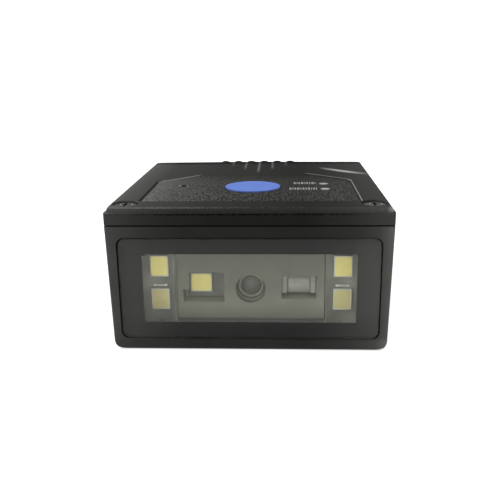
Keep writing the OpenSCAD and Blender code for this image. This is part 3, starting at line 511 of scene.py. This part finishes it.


# Band below the ledge, with painted shadow in dashes under the ledge and painted shade on its lower edge in
# the seam
def bandGrey(tree, at, look):
    edgeLighting = look["bandEdges"]
    dashes = noise(tree, stretched(tree, at.point, edgeLighting["dashStretch"]), *edgeLighting["dashNoise"])
    dashes = times(tree, between(tree, at.z, *edgeLighting["dashes"]), remap(tree, dashes, *edgeLighting["dashFrom"]),
                   remap(tree, at.wide, *edgeLighting["dashEnds"], 1.0, 0.0))
    dark = calc(tree, "MAXIMUM", dashes, remap(tree, at.z, *edgeLighting["seam"]))
    return scaleColour(tree, greyAlong(tree, at.x, look["band"]), minus(tree, 1.0, dark))


def makeCoverFinish(look):
    material, tree, shader = startMaterial("coverBlack", look)
    at = readPlace(tree)
    # the plain top has painted light in front of the panel, paler to the left, and painted shade along the
    # rear edge
    frontStrip = remap(tree, at.y, *look["frontStrip"], remap(tree, at.x, *look["frontStripAcross"]), 1.0)
    rearShade = remap(tree, at.y, *look["rearShade"], 1.0, remap(tree, at.wide, *look["rearShadeAcross"]))
    top = scaleColour(tree, greyAlong(tree, at.x, look["top"]), times(tree, frontStrip, rearShade))
    sunk = look["sunkPanel"]
    inside = insidePanel(tree, at, sunk)
    panel = times(tree, remap(tree, at.y, *sunk["fade"], 1.0, 0.0), inside,
                  remap(tree, at.z, *sunk["floor"]))
    crumbs = noise(tree, stretched(tree, at.point, sunk["grainStretch"]), *sunk["grain"])
    top = blendColour(tree, panel, top, panelGrain(tree, at, crumbs, look))
    top = panelWalls(tree, at, inside, top, look["panelWalls"])
    top = soundPort(tree, at, top, look["port"])
    shine = calc(tree, "MAXIMUM", creaseSheen(tree, at, look["crease"]), ribSheen(tree, at, look["ribs"]))
    flat = remap(tree, at.normal[2], *look["flatTop"])
    top = blendColour(tree, times(tree, shine, flat), top, look["sheen"])
    # the shoulder outside the panel, and the band below it
    steep = times(tree, remap(tree, at.normal[2], *look["steep"], 1.0, 0.0), minus(tree, 1.0, inside))
    base = blendColour(tree, steep, top, shoulderGrey(tree, at, look))
    low = remap(tree, at.z, *look["bandEdges"]["top"], 1.0, 0.0)
    base = blendColour(tree, low, base, bandGrey(tree, at, look))
    # a fine surface everywhere but on the panel
    outside = minus(tree, 1.0, panel)
    speckle = patchy(tree, stretched(tree, at.point, look["speckleStretch"]), *look["speckle"])
    speckle = plus(tree, times(tree, speckle, outside), 1.0)
    tree.links.new(scaleColour(tree, base, speckle), shader.inputs["Base Color"])
    fineSize, fineDepth = look["fineGrain"]
    fine = times(tree, noise(tree, at.point, fineSize), outside, fineDepth / sunk["grainDepth"])
    bumpFrom(tree, shader, plus(tree, fine, times(tree, crumbs, panel)), sunk["grainDepth"])
    return material


dress(makeCoverFinish(coverLook), "top_cover")
print("cover dressed")

# Cover screws
screwLook = {
    "colour": (0.04, 0.04, 0.037),
    "roughness": 0.45,
    "specular": 0.1,
    "bare": (0.5, 0.5, 0.47),           # colour of the painted highlights on the heads
    "place": (20.1, -20.35),            # the right screw's axis
    "glints": ((-0.75, 0.0, 0.24), (1.05, 0.1, 0.18)),   # painted highlight spots on each head: x, y, radius
    "soft": 0.08,
    "ragged": (0.3, -0.08, 0.08),       # size, then how far a spot's edge wanders
    "mottle": (0.5, 0.7, 1.4),
    "grain": (0.12, 0.01),
}


# Black coated heads with painted highlight spots
def makeScrewFinish(look):
    material, tree, shader = startMaterial("blackenedSteel", look)
    at = readPlace(tree)
    screwX, screwY = look["place"]
    localX = minus(tree, at.x, times(tree, calc(tree, "SIGN", at.x), screwX))
    localY = minus(tree, at.y, screwY)
    ragged = patchy(tree, at.point, *look["ragged"], span=wideSpan)
    glints = 0.0
    for spotX, spotY, radius in look["glints"]:
        reach = plus(tree, awayFrom(tree, localX, localY, (spotX, spotY)), ragged)
        glints = calc(tree, "MAXIMUM", glints, remap(tree, reach, radius, radius + look["soft"], 1.0, 0.0))
    coat = scaleColour(tree, look["colour"], patchy(tree, at.point, *look["mottle"], 3.0))
    tree.links.new(blendColour(tree, glints, coat, look["bare"]), shader.inputs["Base Color"])
    grainy(tree, shader, at.point, *look["grain"])
    return material


dress(makeScrewFinish(screwLook), "cover_screws")
print("screws dressed")

# Window
windowLook = {
    "colour": (0.86, 0.87, 0.84),
    "roughness": 0.015,
    "scatter": (12.0, 0.01, 0.02),   # faint patches in the hard coat
    "index": 1.3,
    "corner": 1.2,
    "edge": 0.08,
    "bond": 0.02,                # how far the pane's back reaches into the print
    "cornerSteps": 8,
}


def makeWindowFinish(look):
    material, tree, shader = startMaterial("hardCoatedAcrylic", look)
    shader.inputs["Transmission Weight"].default_value = 1.0
    shader.inputs["IOR"].default_value = look["index"]
    scatter = patchy(tree, readPlace(tree).point, *look["scatter"], span=wideSpan)
    tree.links.new(scatter, shader.inputs["Roughness"])
    # lamps reach what is behind the window
    clear = tree.nodes.new("ShaderNodeBsdfTransparent")
    clear.inputs["Color"].default_value = (*look["colour"], 1)
    path = tree.nodes.new("ShaderNodeLightPath")
    mixer = tree.nodes.new("ShaderNodeMixShader")
    output = next(n for n in tree.nodes if n.type == "OUTPUT_MATERIAL")
    tree.links.new(path.outputs["Is Shadow Ray"], mixer.inputs[0])
    tree.links.new(shader.outputs[0], mixer.inputs[1])
    tree.links.new(clear.outputs[0], mixer.inputs[2])
    tree.links.new(mixer.outputs[0], output.inputs["Surface"])
    return material


# Rounded outline of the pane at one depth, drawn in from its edge by the inset
def paneRing(mesh, low, high, y, corner, inset, steps):
    ring = []
    for sideX, sideZ, start in ((1, 1, 0), (-1, 1, 90), (-1, -1, 180), (1, -1, 270)):
        centreX = (high[0] if sideX > 0 else low[0]) - sideX * corner
        centreZ = (high[2] if sideZ > 0 else low[2]) - sideZ * corner
        for step in range(steps + 1):
            angle = math.radians(start + 90 * step / steps)
            x = centreX + (corner - inset) * math.cos(angle)
            z = centreZ + (corner - inset) * math.sin(angle)
            ring.append(mesh.verts.new((x, y, z)))
    return ring


# Clear pane with an eased front edge, bonded to the print behind it
def makePane(look):
    low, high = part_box("window_panel")
    edge = look["edge"] * mm
    mesh = bmesh.new()
    rings = []
    for y, inset in ((low[1], edge), (low[1] + edge, 0), (high[1] + look["bond"] * mm, 0)):
        rings.append(paneRing(mesh, low, high, y, look["corner"] * mm, inset, look["cornerSteps"]))
    for near, far in zip(rings, rings[1:]):
        for index in range(len(near)):
            mesh.faces.new((near[index], near[index - 1], far[index - 1], far[index]))
    mesh.faces.new(rings[0])
    mesh.faces.new(rings[-1])
    bmesh.ops.recalc_face_normals(mesh, faces=mesh.faces)
    acrylic = makeWindowFinish(look)
    dress(acrylic, "window_panel")
    pane = finishPiece(mesh, "window_pane", acrylic)
    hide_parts("window_panel")


makePane(windowLook)

# Black print and foam tape behind the pane
maskLook = {
    # grey levels across the width, above and below the clear area, painted light: paler to the sides,
    # darkest low in the middle
    "high": ((-21, 0.054), (-17, 0.04), (-10, 0.027), (9, 0.021), (16, 0.041), (21, 0.076)),
    "low": ((-21, 0.048), (-16, 0.025), (-12, 0.009), (6, 0.002), (12, 0.009),
            (18, 0.038), (21, 0.058)),
    "heights": (3.5, 7),
    "colour": (0.01, 0.01, 0.01),
    "roughness": 0.6,
    "specular": 0.0,
    "grain": (0.4, 0.002),
}
tapeLook = {"colour": (0.02, 0.02, 0.02), "roughness": 0.85, "grainSize": 0.1, "grainDepth": 0.03}


def makeMaskFinish(look):
    material, tree, shader = startMaterial("maskInk", look)
    at = readPlace(tree)
    grey = blendColour(tree, remap(tree, at.z, *look["heights"]),
                       greyAlong(tree, at.x, look["low"]), greyAlong(tree, at.x, look["high"]))
    tree.links.new(grey, shader.inputs["Base Color"])
    grainy(tree, shader, at.point, *look["grain"])
    return material


dress(makeMaskFinish(maskLook), "window_mask")
dress(plainFinish("foamTape", tapeLook), "window_tape")
print("window dressed")

# Badge, light pipes and printed bars
badgeLook = {
    "colour": (0.118, 0.206, 0.6),
    "rim": (0.11, 0.185, 0.54),
    "rimFrom": (4.78, 4.92),
    "centre": (0.0, -5.2),
    "roughness": 0.42,
    "specular": 0.01,
    "mottle": (4.0, 0.95, 1.05),
    "grain": (0.2, 0.004),
}


def makeBadgeFinish(look):
    material, tree, shader = startMaterial("badgeBlue", look)
    at = readPlace(tree)
    rim = remap(tree, awayFrom(tree, at.x, at.y, look["centre"]), *look["rimFrom"])
    face = scaleColour(tree, look["colour"], patchy(tree, at.point, *look["mottle"], 3.0, wideSpan))
    tree.links.new(blendColour(tree, rim, face, look["rim"]), shader.inputs["Base Color"])
    grainy(tree, shader, at.point, *look["grain"])
    return material


dress(makeBadgeFinish(badgeLook), "badge")

pipeLook = {"colour": (0.36, 0.36, 0.34), "roughness": 0.5, "specular": 0.05, "mottle": 0.05,
            "grainSize": 0.3, "grainDepth": 0.004}
dress(plainFinish("milkyPipe", pipeLook), "power_light_pipe", "scan_light_pipe")

# Rows of plain upright bars beside the two lights
barLook = {
    "rows": ((6.67, 11.65, -6.85), (7.54, 11.6, -1.4)),   # from x, to x, y
    "tall": 1.8,
    "widths": (0.34, 0.16, 0.26, 0.42, 0.18, 0.3, 0.22, 0.38, 0.16, 0.28, 0.2, 0.36, 0.24),
    "gap": 0.2,
    "z": (23.7, 23.72),
    "ink": {"colour": (0.3, 0.3, 0.285), "roughness": 0.6, "specular": 0.02, "mottle": 0.2,
            "mottleSize": 0.4, "grainSize": 0.12, "grainDepth": 0.006},
}


def addBox(mesh, low, high):
    for vert in bmesh.ops.create_cube(mesh, size=1)["verts"]:
        vert.co = Vector([(a + b) / 2 + v * (b - a) for a, b, v in zip(low, high, vert.co)]) * mm


def makeBars(look):
    mesh = bmesh.new()
    low, high = look["z"]
    for fromX, toX, y in look["rows"]:
        x = fromX
        for width in look["widths"]:
            if x + width > toX:
                break
            addBox(mesh, (x, y - look["tall"] / 2, low), (x + width, y + look["tall"] / 2, high))
            x += width + look["gap"]
    finishPiece(mesh, "printed_bars", plainFinish("paleInk", look["ink"]))


makeBars(barLook)
print("badge, pipes and bars made")

# Engine behind the window
engineLook = {
    "colour": (0.24, 0.24, 0.198),
    "roughness": 0.55,
    "specular": 0.3,
    "mottle": (4.0, 0.96, 1.04),
    # painted light: the plate is paler low down and towards its ends
    "heights": (9, 5.5, 1.0, 1.5),
    "ends": (9.5, 12.5, 1.0, 1.12),
    "lensAt": (0.0, 8.7),
    # the countersink round the lens, with painted light and shade: its edge, its factors at two depths, and
    # its floor's
    "sinkRadius": (2.6, 2.62),
    "sinkDepth": (0.02, 0.06),
    "sink": (1.25, 1.35, 0.85, 2.0),
    "sinkFloor": (2.05, 2.08, 0.0, -1.2),
    "sinkTop": (7.9, 9.3, 1.0, 1.3),
    "pocketX": (4.55, 4.6),
    "pocketDepth": (0.05, 0.1),
    "pocketGain": (-1, 1, 1.2, 1.38),     # painted light on the pockets' walls, left and right of the lens
    # painted shade along the block's lower edge
    "foot": (3.6, 3.25),
    "footShade": (0.17, 0.17, 0.165),
    "grain": (0.1, 0.008),
}
barrelLook = {
    "colour": (0.24, 0.24, 0.198),
    "roughness": 0.5,
    "specular": 0.3,
    "mottle": (0.8, 0.95, 1.05),
    "axis": (0.0, 8.7),
    "rings": ((1.85, 2.02, 2.0), (2.12, 2.25, 0.75)),   # painted light and shade, a pale ring then a dark one: from, to, and the factor of each ring
    "ringSoft": 0.03,
    "grain": (0.1, 0.006),
}


# Painted light and shade inside the countersink, set by its depth
def sinkFactor(tree, at, depth, look):
    reach = awayFrom(tree, at.x, at.z, look["lensAt"])
    inSink = times(tree, remap(tree, reach, *look["sinkRadius"], 1.0, 0.0),
                   remap(tree, depth, *look["sinkDepth"]))
    level = plus(tree, remap(tree, depth, *look["sink"]), remap(tree, depth, *look["sinkFloor"]))
    level = times(tree, level, remap(tree, at.z, *look["sinkTop"]))
    return plus(tree, times(tree, minus(tree, level, 1.0), inSink), 1.0)


# Painted light on the walls of the pockets beside the lens
def pocketFactor(tree, at, depth, look):
    inPocket = times(tree, remap(tree, at.wide, *look["pocketX"]),
                     remap(tree, depth, *look["pocketDepth"]))
    return remap(tree, inPocket, 0.0, 1.0, 1.0, remap(tree, at.x, *look["pocketGain"]))


def makeEngineFinish(look):
    material, tree, shader = startMaterial("engineGrey", look)
    at = readPlace(tree)
    depth = minus(tree, at.y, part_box("engine_block")[0][1] / mm)
    factor = times(tree, patchy(tree, at.point, *look["mottle"], 3.0), remap(tree, at.z, *look["heights"]),
                   remap(tree, at.wide, *look["ends"]), sinkFactor(tree, at, depth, look),
                   pocketFactor(tree, at, depth, look))
    base = blendColour(tree, remap(tree, at.z, *look["foot"]), scaleColour(tree, look["colour"], factor),
                       look["footShade"])
    tree.links.new(base, shader.inputs["Base Color"])
    grainy(tree, shader, at.point, *look["grain"])
    return material


def makeBarrelFinish(look):
    material, tree, shader = startMaterial("barrelGrey", look)
    at = readPlace(tree)
    reach = awayFrom(tree, at.x, at.z, look["axis"])
    factor = patchy(tree, at.point, *look["mottle"])
    for near, far, gain in look["rings"]:
        ring = between(tree, reach, near, far, look["ringSoft"])
        factor = plus(tree, factor, times(tree, ring, gain - 1.0))
    tree.links.new(scaleColour(tree, look["colour"], factor), shader.inputs["Base Color"])
    grainy(tree, shader, at.point, *look["grain"])
    return material


dress(makeEngineFinish(engineLook), "engine_block")
dress(makeBarrelFinish(barrelLook), "lens_barrel")

# Boards
smallBoardLook = {"colour": (0.3, 0.3, 0.262), "roughness": 0.5, "specular": 0.3}
greenBoardLook = {"colour": (0.018, 0.075, 0.045), "roughness": 0.35, "mottle": 0.2, "mottleSize": 1.2,
                  "grainSize": 0.3, "grainDepth": 0.01}
lightBoardLook = {
    # painted light: heights and levels beside the plate, on each board
    "left": ((3.8, 0.34), (5.2, 0.28), (6.6, 0.24), (7.6, 0.188), (8.6, 0.196),
             (10, 0.22), (11.2, 0.25), (17, 0.26)),
    "right": ((3.8, 0.275), (5.2, 0.256), (5.9, 0.213), (7, 0.165), (8, 0.19),
              (8.6, 0.216), (10, 0.235), (11.2, 0.258), (17, 0.26)),
    "outer": (6.5, 4.5, 0.5, 0.6),       # painted light on the outer side: from height, to height, and its level at each
    "outerFrom": (14.0, 17.3),
    "mottle": (2.0, 0.93, 1.07),
    "flanks": (0.8, 0.9, 1.0, 3.0),      # painted light on faces, by how far a face looks sideways
    "hue": (1, 1, 0.86),
    "colour": (0.2, 0.2, 0.18),
    "roughness": 0.45,
    "specular": 0.3,
    "grain": (0.25, 0.006),
}


def makeBoardFinish(look):
    material, tree, shader = startMaterial("lacquerGrey", look)
    at = readPlace(tree)
    beside = blendColour(tree, remap(tree, at.x, -1, 1), greyAlong(tree, at.z, look["left"]),
                         greyAlong(tree, at.z, look["right"]))
    share = remap(tree, at.wide, *look["outerFrom"])
    # maths on the blended grey turns it into a plain number
    level = plus(tree, times(tree, beside, minus(tree, 1.0, share)),
                 times(tree, share, remap(tree, at.z, *look["outer"])))
    sideways = calc(tree, "ABSOLUTE", at.normal[0])
    level = times(tree, level, patchy(tree, at.point, *look["mottle"], 3.0),
                  remap(tree, sideways, *look["flanks"]))
    tree.links.new(scaleColour(tree, look["hue"], level), shader.inputs["Base Color"])
    grainy(tree, shader, at.point, *look["grain"])
    return material


dress(plainFinish("lightBoardGrey", smallBoardLook), "engine_light_board", "aimer_light_board")
dress(makeBoardFinish(lightBoardLook), "left_light_board", "right_light_board")
dress(plainFinish("lacquerGreen", greenBoardLook), "main_board", "engine_board")
print("engine and boards dressed")

# Lights
lightLook = {
    "colour": (0.8, 0.79, 0.74),
    "roughness": 0.4,
    "specular": 0.3,
    # each light's yellow and how much its floor glows, painted light; the lower lights' darker yellow is
    # painted shade
    "upper": ((0.86, 0.77, 0.285), 0.25),
    "lower": ((0.79, 0.71, 0.34), 0.05),
    "depth": (0.06, 0.2, 0.02),   # the yellow floor lies between these depths behind the rim
    "facing": (-0.9, -0.6, 1.0, 0.0),
    "speckle": (0.5, 0.94, 1.0),
    "grain": (0.12, 0.006),
}


# White cup with a yellow floor, told apart by depth behind the rim; the floor glows with painted light
def makeLightFinish(name, look):
    material, tree, shader = startMaterial(name + "_finish", look)
    colour, glow = look["lower" if "lower" in name else "upper"]
    at = readPlace(tree)
    depth = minus(tree, at.y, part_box(name)[0][1] / mm)
    floor = times(tree, between(tree, depth, *look["depth"]),
                  remap(tree, at.normal[1], *look["facing"]))
    yellow = scaleColour(tree, colour, patchy(tree, at.point, *look["speckle"], 3.0))
    tree.links.new(blendColour(tree, floor, look["colour"], yellow), shader.inputs["Base Color"])
    shader.inputs["Emission Color"].default_value = (*colour, 1)
    tree.links.new(times(tree, floor, glow), shader.inputs["Emission Strength"])
    grainy(tree, shader, at.point, *look["grain"])
    return material


for name in ("left_upper_light", "left_lower_light", "right_upper_light", "right_lower_light",
             "engine_light"):
    dress(makeLightFinish(name, lightLook), name)

# Resistors
resistorLook = {
    "colour": (0.6, 0.6, 0.57),
    "roughness": 0.4,
    "ends": (0.78, 0.78, 0.76),
    "cap": 0.45,
    "capSoft": 0.04,
    "endMetal": 0.7,
    "grain": (0.15, 0.008),
}


# Ceramic body with tinned ends
def makeResistorFinish(name, look):
    low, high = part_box(name)
    middle = (low[0] + high[0]) / 2 / mm
    bare = (high[0] - low[0]) / 2 / mm - look["cap"]
    material, tree, shader = startMaterial(name + "_finish", look)
    at = readPlace(tree)
    away = calc(tree, "ABSOLUTE", minus(tree, at.x, middle))
    capped = remap(tree, away, bare, bare + look["capSoft"])
    tree.links.new(blendColour(tree, capped, look["colour"], look["ends"]), shader.inputs["Base Color"])
    tree.links.new(times(tree, capped, look["endMetal"]), shader.inputs["Metallic"])
    grainy(tree, shader, at.point, *look["grain"])
    return material


for name in ("left_resistor", "right_resistor"):
    dress(makeResistorFinish(name, resistorLook), name)
print("lights and resistors dressed")

# Lenses and sensor
lensLook = {
    # the pale grey is a painted reflection, a veil over the clear glass
    "colour": (0.49, 0.49, 0.44),
    "roughness": 0.05,
    "index": 1.4,
    "clear": 0.55,
    "grain": (1.0, 0.002),
}
aimerLook = {
    "colour": (0.465, 0.455, 0.415),
    "lower": 1.07,               # painted light: factor of its lower part, which catches more light
    "split": 0.6,                # share of its height
    "soft": 0.05,
    "roughness": 0.25,
    "specular": 0.4,
    "mottle": (0.8, 0.94, 1.06),
    "grain": (0.5, 0.01),
}
sensorLook = {"colour": (0.012, 0.013, 0.02), "roughness": 0.12}


def makeLensFinish(look):
    material, tree, shader = startMaterial("coatedLens", look)
    shader.inputs["Transmission Weight"].default_value = look["clear"]
    shader.inputs["IOR"].default_value = look["index"]
    grainy(tree, shader, readPlace(tree).point, *look["grain"])
    return material


def makeAimerFinish(look):
    low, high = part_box("aimer_lens")
    split = (low[2] + (high[2] - low[2]) * look["split"]) / mm
    material, tree, shader = startMaterial("mouldedLens", look)
    at = readPlace(tree)
    factor = times(tree, remap(tree, at.z, split - look["soft"], split + look["soft"], look["lower"], 1.0),
                   patchy(tree, at.point, *look["mottle"], 3.0))
    tree.links.new(scaleColour(tree, look["colour"], factor), shader.inputs["Base Color"])
    grainy(tree, shader, at.point, *look["grain"])
    return material


dress(makeLensFinish(lensLook), "front_lens", "rear_lens")
dress(makeAimerFinish(aimerLook), "aimer_lens")
dress(plainFinish("sensorGlass", sensorLook), "image_sensor")

# Bracket, whose strip shows below the engine; its grey and its paler strips in the gaps beside the engine
# are painted light
bracketLook = {
    "colour": (0.24, 0.24, 0.236),
    "roughness": 0.6,
    "specular": 0.3,
    "gapLight": (0.6, 0.6, 0.54),
    "gapLightFrom": (12.5, 12.55),
    "sides": (0.34, 0.34, 0.3),
    "sidesFrom": (12.9, 12.95),
    "mottle": (3.0, 0.92, 1.08),
    "grain": (0.15, 0.01),
}


def makeBracketFinish(look):
    material, tree, shader = startMaterial("bracketGrey", look)
    at = readPlace(tree)
    base = blendColour(tree, remap(tree, at.wide, *look["gapLightFrom"]), look["colour"], look["gapLight"])
    base = blendColour(tree, remap(tree, at.wide, *look["sidesFrom"]), base, look["sides"])
    mottle = patchy(tree, at.point, *look["mottle"], 3.0)
    tree.links.new(scaleColour(tree, base, mottle), shader.inputs["Base Color"])
    grainy(tree, shader, at.point, *look["grain"])
    return material


dress(makeBracketFinish(bracketLook), "optics_bracket")
print("lenses and bracket dressed")

# Inside the housing: finish, its pieces and its look
insideLooks = {
    "sealBlack": (("cover_seal",), {"colour": (0.012, 0.012, 0.012), "roughness": 0.75, "grainSize": 0.2}),
    "zincPlate": (("bracket_screws", "board_screws", "engine_screws"),
                  {"colour": (0.55, 0.56, 0.57), "roughness": 0.3, "metallic": 1.0, "grainSize": 0.1}),
    "turnedBrass": (("mount_inserts",), {"colour": (0.71, 0.53, 0.26), "roughness": 0.28, "metallic": 1.0,
                                         "grainSize": 0.08, "stretch": (1, 1, 6)}),
    "chipResin": (("processor", "memory_chip", "voltage_regulator"),
                  {"colour": (0.02, 0.02, 0.022), "roughness": 0.6, "grainSize": 0.08, "grainDepth": 0.01}),
    "crystalCan": (("clock_crystal",), {"colour": (0.6, 0.6, 0.58), "roughness": 0.3, "metallic": 1.0,
                                        "stretch": (1, 8, 1)}),
    "ferrite": (("power_inductor",), {"colour": (0.05, 0.05, 0.052), "roughness": 0.7, "grainSize": 0.2,
                                      "grainDepth": 0.03}),
    "tanCeramic": (("filter_capacitors",), {"colour": (0.42, 0.3, 0.16), "roughness": 0.45}),
    "beeperBlack": (("beeper",), {"colour": (0.02, 0.02, 0.02), "roughness": 0.45}),
    "whitePackage": (("power_status_light", "scan_status_light", "aimer_light"),
                     {"colour": (0.75, 0.76, 0.7), "roughness": 0.4}),
    "creamNylon": (("engine_connector", "flex_connector"),
                   {"colour": (0.68, 0.64, 0.52), "roughness": 0.5}),
    "amberFilm": (("engine_flex",), {"colour": (0.45, 0.22, 0.06), "roughness": 0.3, "grainSize": 0.5,
                                     "stretch": (8, 1, 1), "grainDepth": 0.02}),
    "socketBlack": (("modular_socket",), {"colour": (0.018, 0.018, 0.019), "roughness": 0.42,
                                          "grainSize": 0.2}),
    "goldContact": (("socket_contacts",), {"colour": (0.86, 0.62, 0.24), "roughness": 0.22, "metallic": 1.0,
                                           "grainSize": 0.15}),
}
for finishName, (names, look) in insideLooks.items():
    dress(plainFinish(finishName, look), *names)
print("inside dressed")

# Studio, in metres
floorLook = {
    "colour": (0.86, 0.86, 0.86),
    "roughness": 0.9,
    "specular": 0.1,
    "mottle": (60.0, 1.0, 1.01),
    "glow": (60, 400, 0.6, 0.7),    # millimetres from the object, and the glow at each
    "indirect": 0.67,               # share of that glow in reflections and through glass
    "size": 6.0,
    "drop": 0.0001,
}
studio = {
    "worldLight": 0.5,
    "aim": (0, 0, 0.012),
    "lamps": (
        # name, place, size, watts
        ("softLeft", (-0.34, -0.16, 0.42), 0.4, 1.7),
        ("softRight", (0.42, 0.02, 0.36), 0.35, 0.9),
    ),
}


# 1 on rays by which the background is seen straight, less in a reflection or through glass
def seenShare(tree, indirect=1.0):
    path = tree.nodes.new("ShaderNodeLightPath").outputs
    around = calc(tree, "MAXIMUM", path["Is Glossy Ray"], path["Is Transmission Ray"])
    around = times(tree, around, indirect)
    return calc(tree, "MAXIMUM", path["Is Camera Ray"], around)


def makeFloor(look):
    mesh = bmesh.new()
    bmesh.ops.create_grid(mesh, x_segments=1, y_segments=1, size=look["size"] / 2)
    data = bpy.data.meshes.new("studioFloor")
    mesh.to_mesh(data)
    mesh.free()
    material, tree, shader = startMaterial("paleFloor", look)
    at = readPlace(tree)
    cloud = scaleColour(tree, look["colour"], patchy(tree, at.point, *look["mottle"], span=wideSpan))
    tree.links.new(cloud, shader.inputs["Base Color"])
    shader.inputs["Emission Color"].default_value = (1, 1, 1, 1)
    glow = remap(tree, awayFrom(tree, at.x, at.y, (0, 0)), *look["glow"])
    tree.links.new(times(tree, seenShare(tree, look["indirect"]), glow), shader.inputs["Emission Strength"])
    data.materials.append(material)
    floor = bpy.data.objects.new("studioFloor", data)
    floor.location.z = -look["drop"]
    bpy.context.scene.collection.objects.link(floor)


def makeLamps(look):
    for name, place, size, watts in look["lamps"]:
        lampData = bpy.data.lights.new(name, "AREA")
        lampData.size = size
        lampData.energy = watts
        lamp = bpy.data.objects.new(name, lampData)
        lamp.location = place
        lamp.rotation_euler = (Vector(look["aim"]) - Vector(place)).to_track_quat("-Z", "Y").to_euler()
        bpy.context.scene.collection.objects.link(lamp)


def makeWorld(look):
    world = bpy.data.worlds.new("studioWorld")
    bpy.context.scene.world = world
    world.use_nodes = True
    tree = world.node_tree
    background = next(n for n in tree.nodes if n.type == "BACKGROUND")
    background.inputs["Color"].default_value = (1, 1, 1, 1)
    light = remap(tree, seenShare(tree), 0.0, 1.0, look["worldLight"], 1.0)
    tree.links.new(light, background.inputs["Strength"])


makeFloor(floorLook)
makeLamps(studio)
makeWorld(studio)
bpy.context.scene.view_settings.view_transform = "Standard"
print("studio set")
